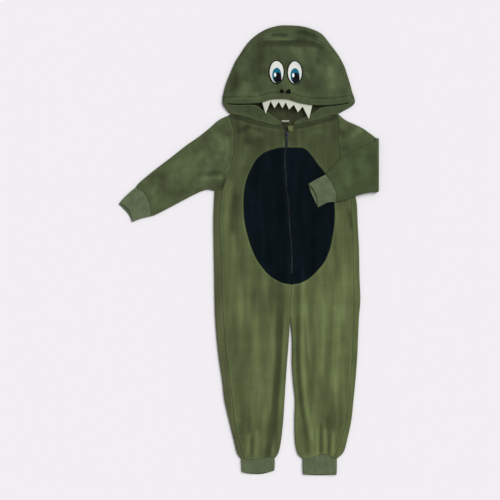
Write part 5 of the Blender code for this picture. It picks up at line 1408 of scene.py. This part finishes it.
tucked = [(x, np.interp(x, brim[:, 0], brim[:, 1]) + HEM_TUCK) for x in np.linspace(57, -61, 14)]
cut_edge = np.vstack([points_along([a, b], 9)[:-1] for a, b in zip(TEETH, TEETH[1:])] + [[TEETH[-1]], tucked])
teeth, area = add_on("teeth_felt", cut_edge, under_brim, FELT, 0.45, tooth_felt, 2.2)
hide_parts("teeth_strip")

# The hem's stitches, 16 mm in from the face edge, and the stitches that hold the neck seam flat on the fronts.
hem_rows = []
for edge, way in ((BRIM, 1), (FLAP_EDGE_RIGHT, -1), (FLAP_EDGE_LEFT, -1)):
    line = run(edge, 2.0)
    along = np.gradient(line, axis=0)
    along /= np.linalg.norm(along, axis=1)[:, None]
    row = line + way * HEM_DEPTH * np.column_stack([-along[:, 1], along[:, 0]])
    seam = np.vstack([NECK_SEAM_RIGHT, NECK_SEAM_LEFT[::-1]])
    clear = nearest_on(row, FACE_EDGES)[0] > 0.97 * HEM_DEPTH
    clear &= (np.abs(row[:, 0]) < 138) & (row[:, 1] > np.interp(row[:, 0], seam[:, 0], seam[:, 1]) + 4)
    row = row[clear]
    hem_rows.append(np.column_stack([row, top_of(hood_height, row) + 0.12]))
stitched("hood_hem_stitches", hem_rows, 3.3, (2.7, 0.55, 0.45), olive_thread)
neck_rows = []
for seam in (NECK_SEAM_RIGHT, NECK_SEAM_LEFT):
    line = run(seam, 2.0)
    row = (line - [0, 4.2])[np.abs(line[:, 0]) > 14]
    neck_rows.append(np.column_stack([row, top_of(front_height, row) + 0.55]))
stitched("neck_stitches", neck_rows, 3.3, (2.7, 0.55, 0.45), olive_thread)

# Setting. A plain pale floor, soft daylight from all round with a broad key from the upper right, and a camera
# straight above.
FLOOR_SIZE = 30.0
FLOOR_LEVEL = -0.0002
CAMERA_HEIGHT = 8.0
VIEW_WIDTH = 1.175
VIEW_CENTRE = (-89.3, 162.15)
SENSOR = 36.0

floor_mesh = bpy.data.meshes.new("floor")
half = FLOOR_SIZE / 2
corners = [(-half, -half), (half, -half), (half, half), (-half, half)]
floor_mesh.from_pydata([(x, y, FLOOR_LEVEL) for x, y in corners], [], [(0, 1, 2, 3)])
floor = bpy.data.objects.new("floor", floor_mesh)
bpy.context.scene.collection.objects.link(floor)
paper = bpy.data.materials.new("paper")
paper.use_nodes = True
for label, value in (("Base Color", (0.875, 0.85, 0.875, 1)), ("Roughness", 1.0), ("Specular IOR Level", 0.0)):
    paper.node_tree.nodes["Principled BSDF"].inputs[label].default_value = value
floor_mesh.materials.append(paper)

world = bpy.data.worlds.new("studio")
bpy.context.scene.world = world
world.use_nodes = True
world.node_tree.nodes["Background"].inputs["Color"].default_value = (0.97, 0.98, 1.0, 1)
world.node_tree.nodes["Background"].inputs["Strength"].default_value = 0.46
key = bpy.data.lights.new("key", "SUN")
key.energy = 2.22
key.angle = math.radians(42)
key_lamp = bpy.data.objects.new("key", key)
key_lamp.rotation_euler = Vector((-0.6, -0.45, -1.0)).to_track_quat("-Z", "Y").to_euler()
bpy.context.scene.collection.objects.link(key_lamp)

camera = bpy.data.objects.new("camera", bpy.data.cameras.new("camera"))
camera.data.sensor_width = SENSOR
camera.data.lens = SENSOR * CAMERA_HEIGHT / VIEW_WIDTH
camera.location = (VIEW_CENTRE[0] * MM + ORIGIN.x, VIEW_CENTRE[1] * MM + ORIGIN.y, CAMERA_HEIGHT)
camera.data.clip_end = 50
bpy.context.scene.collection.objects.link(camera)
bpy.context.scene.camera = camera
bpy.context.scene.view_settings.view_transform = "Standard"
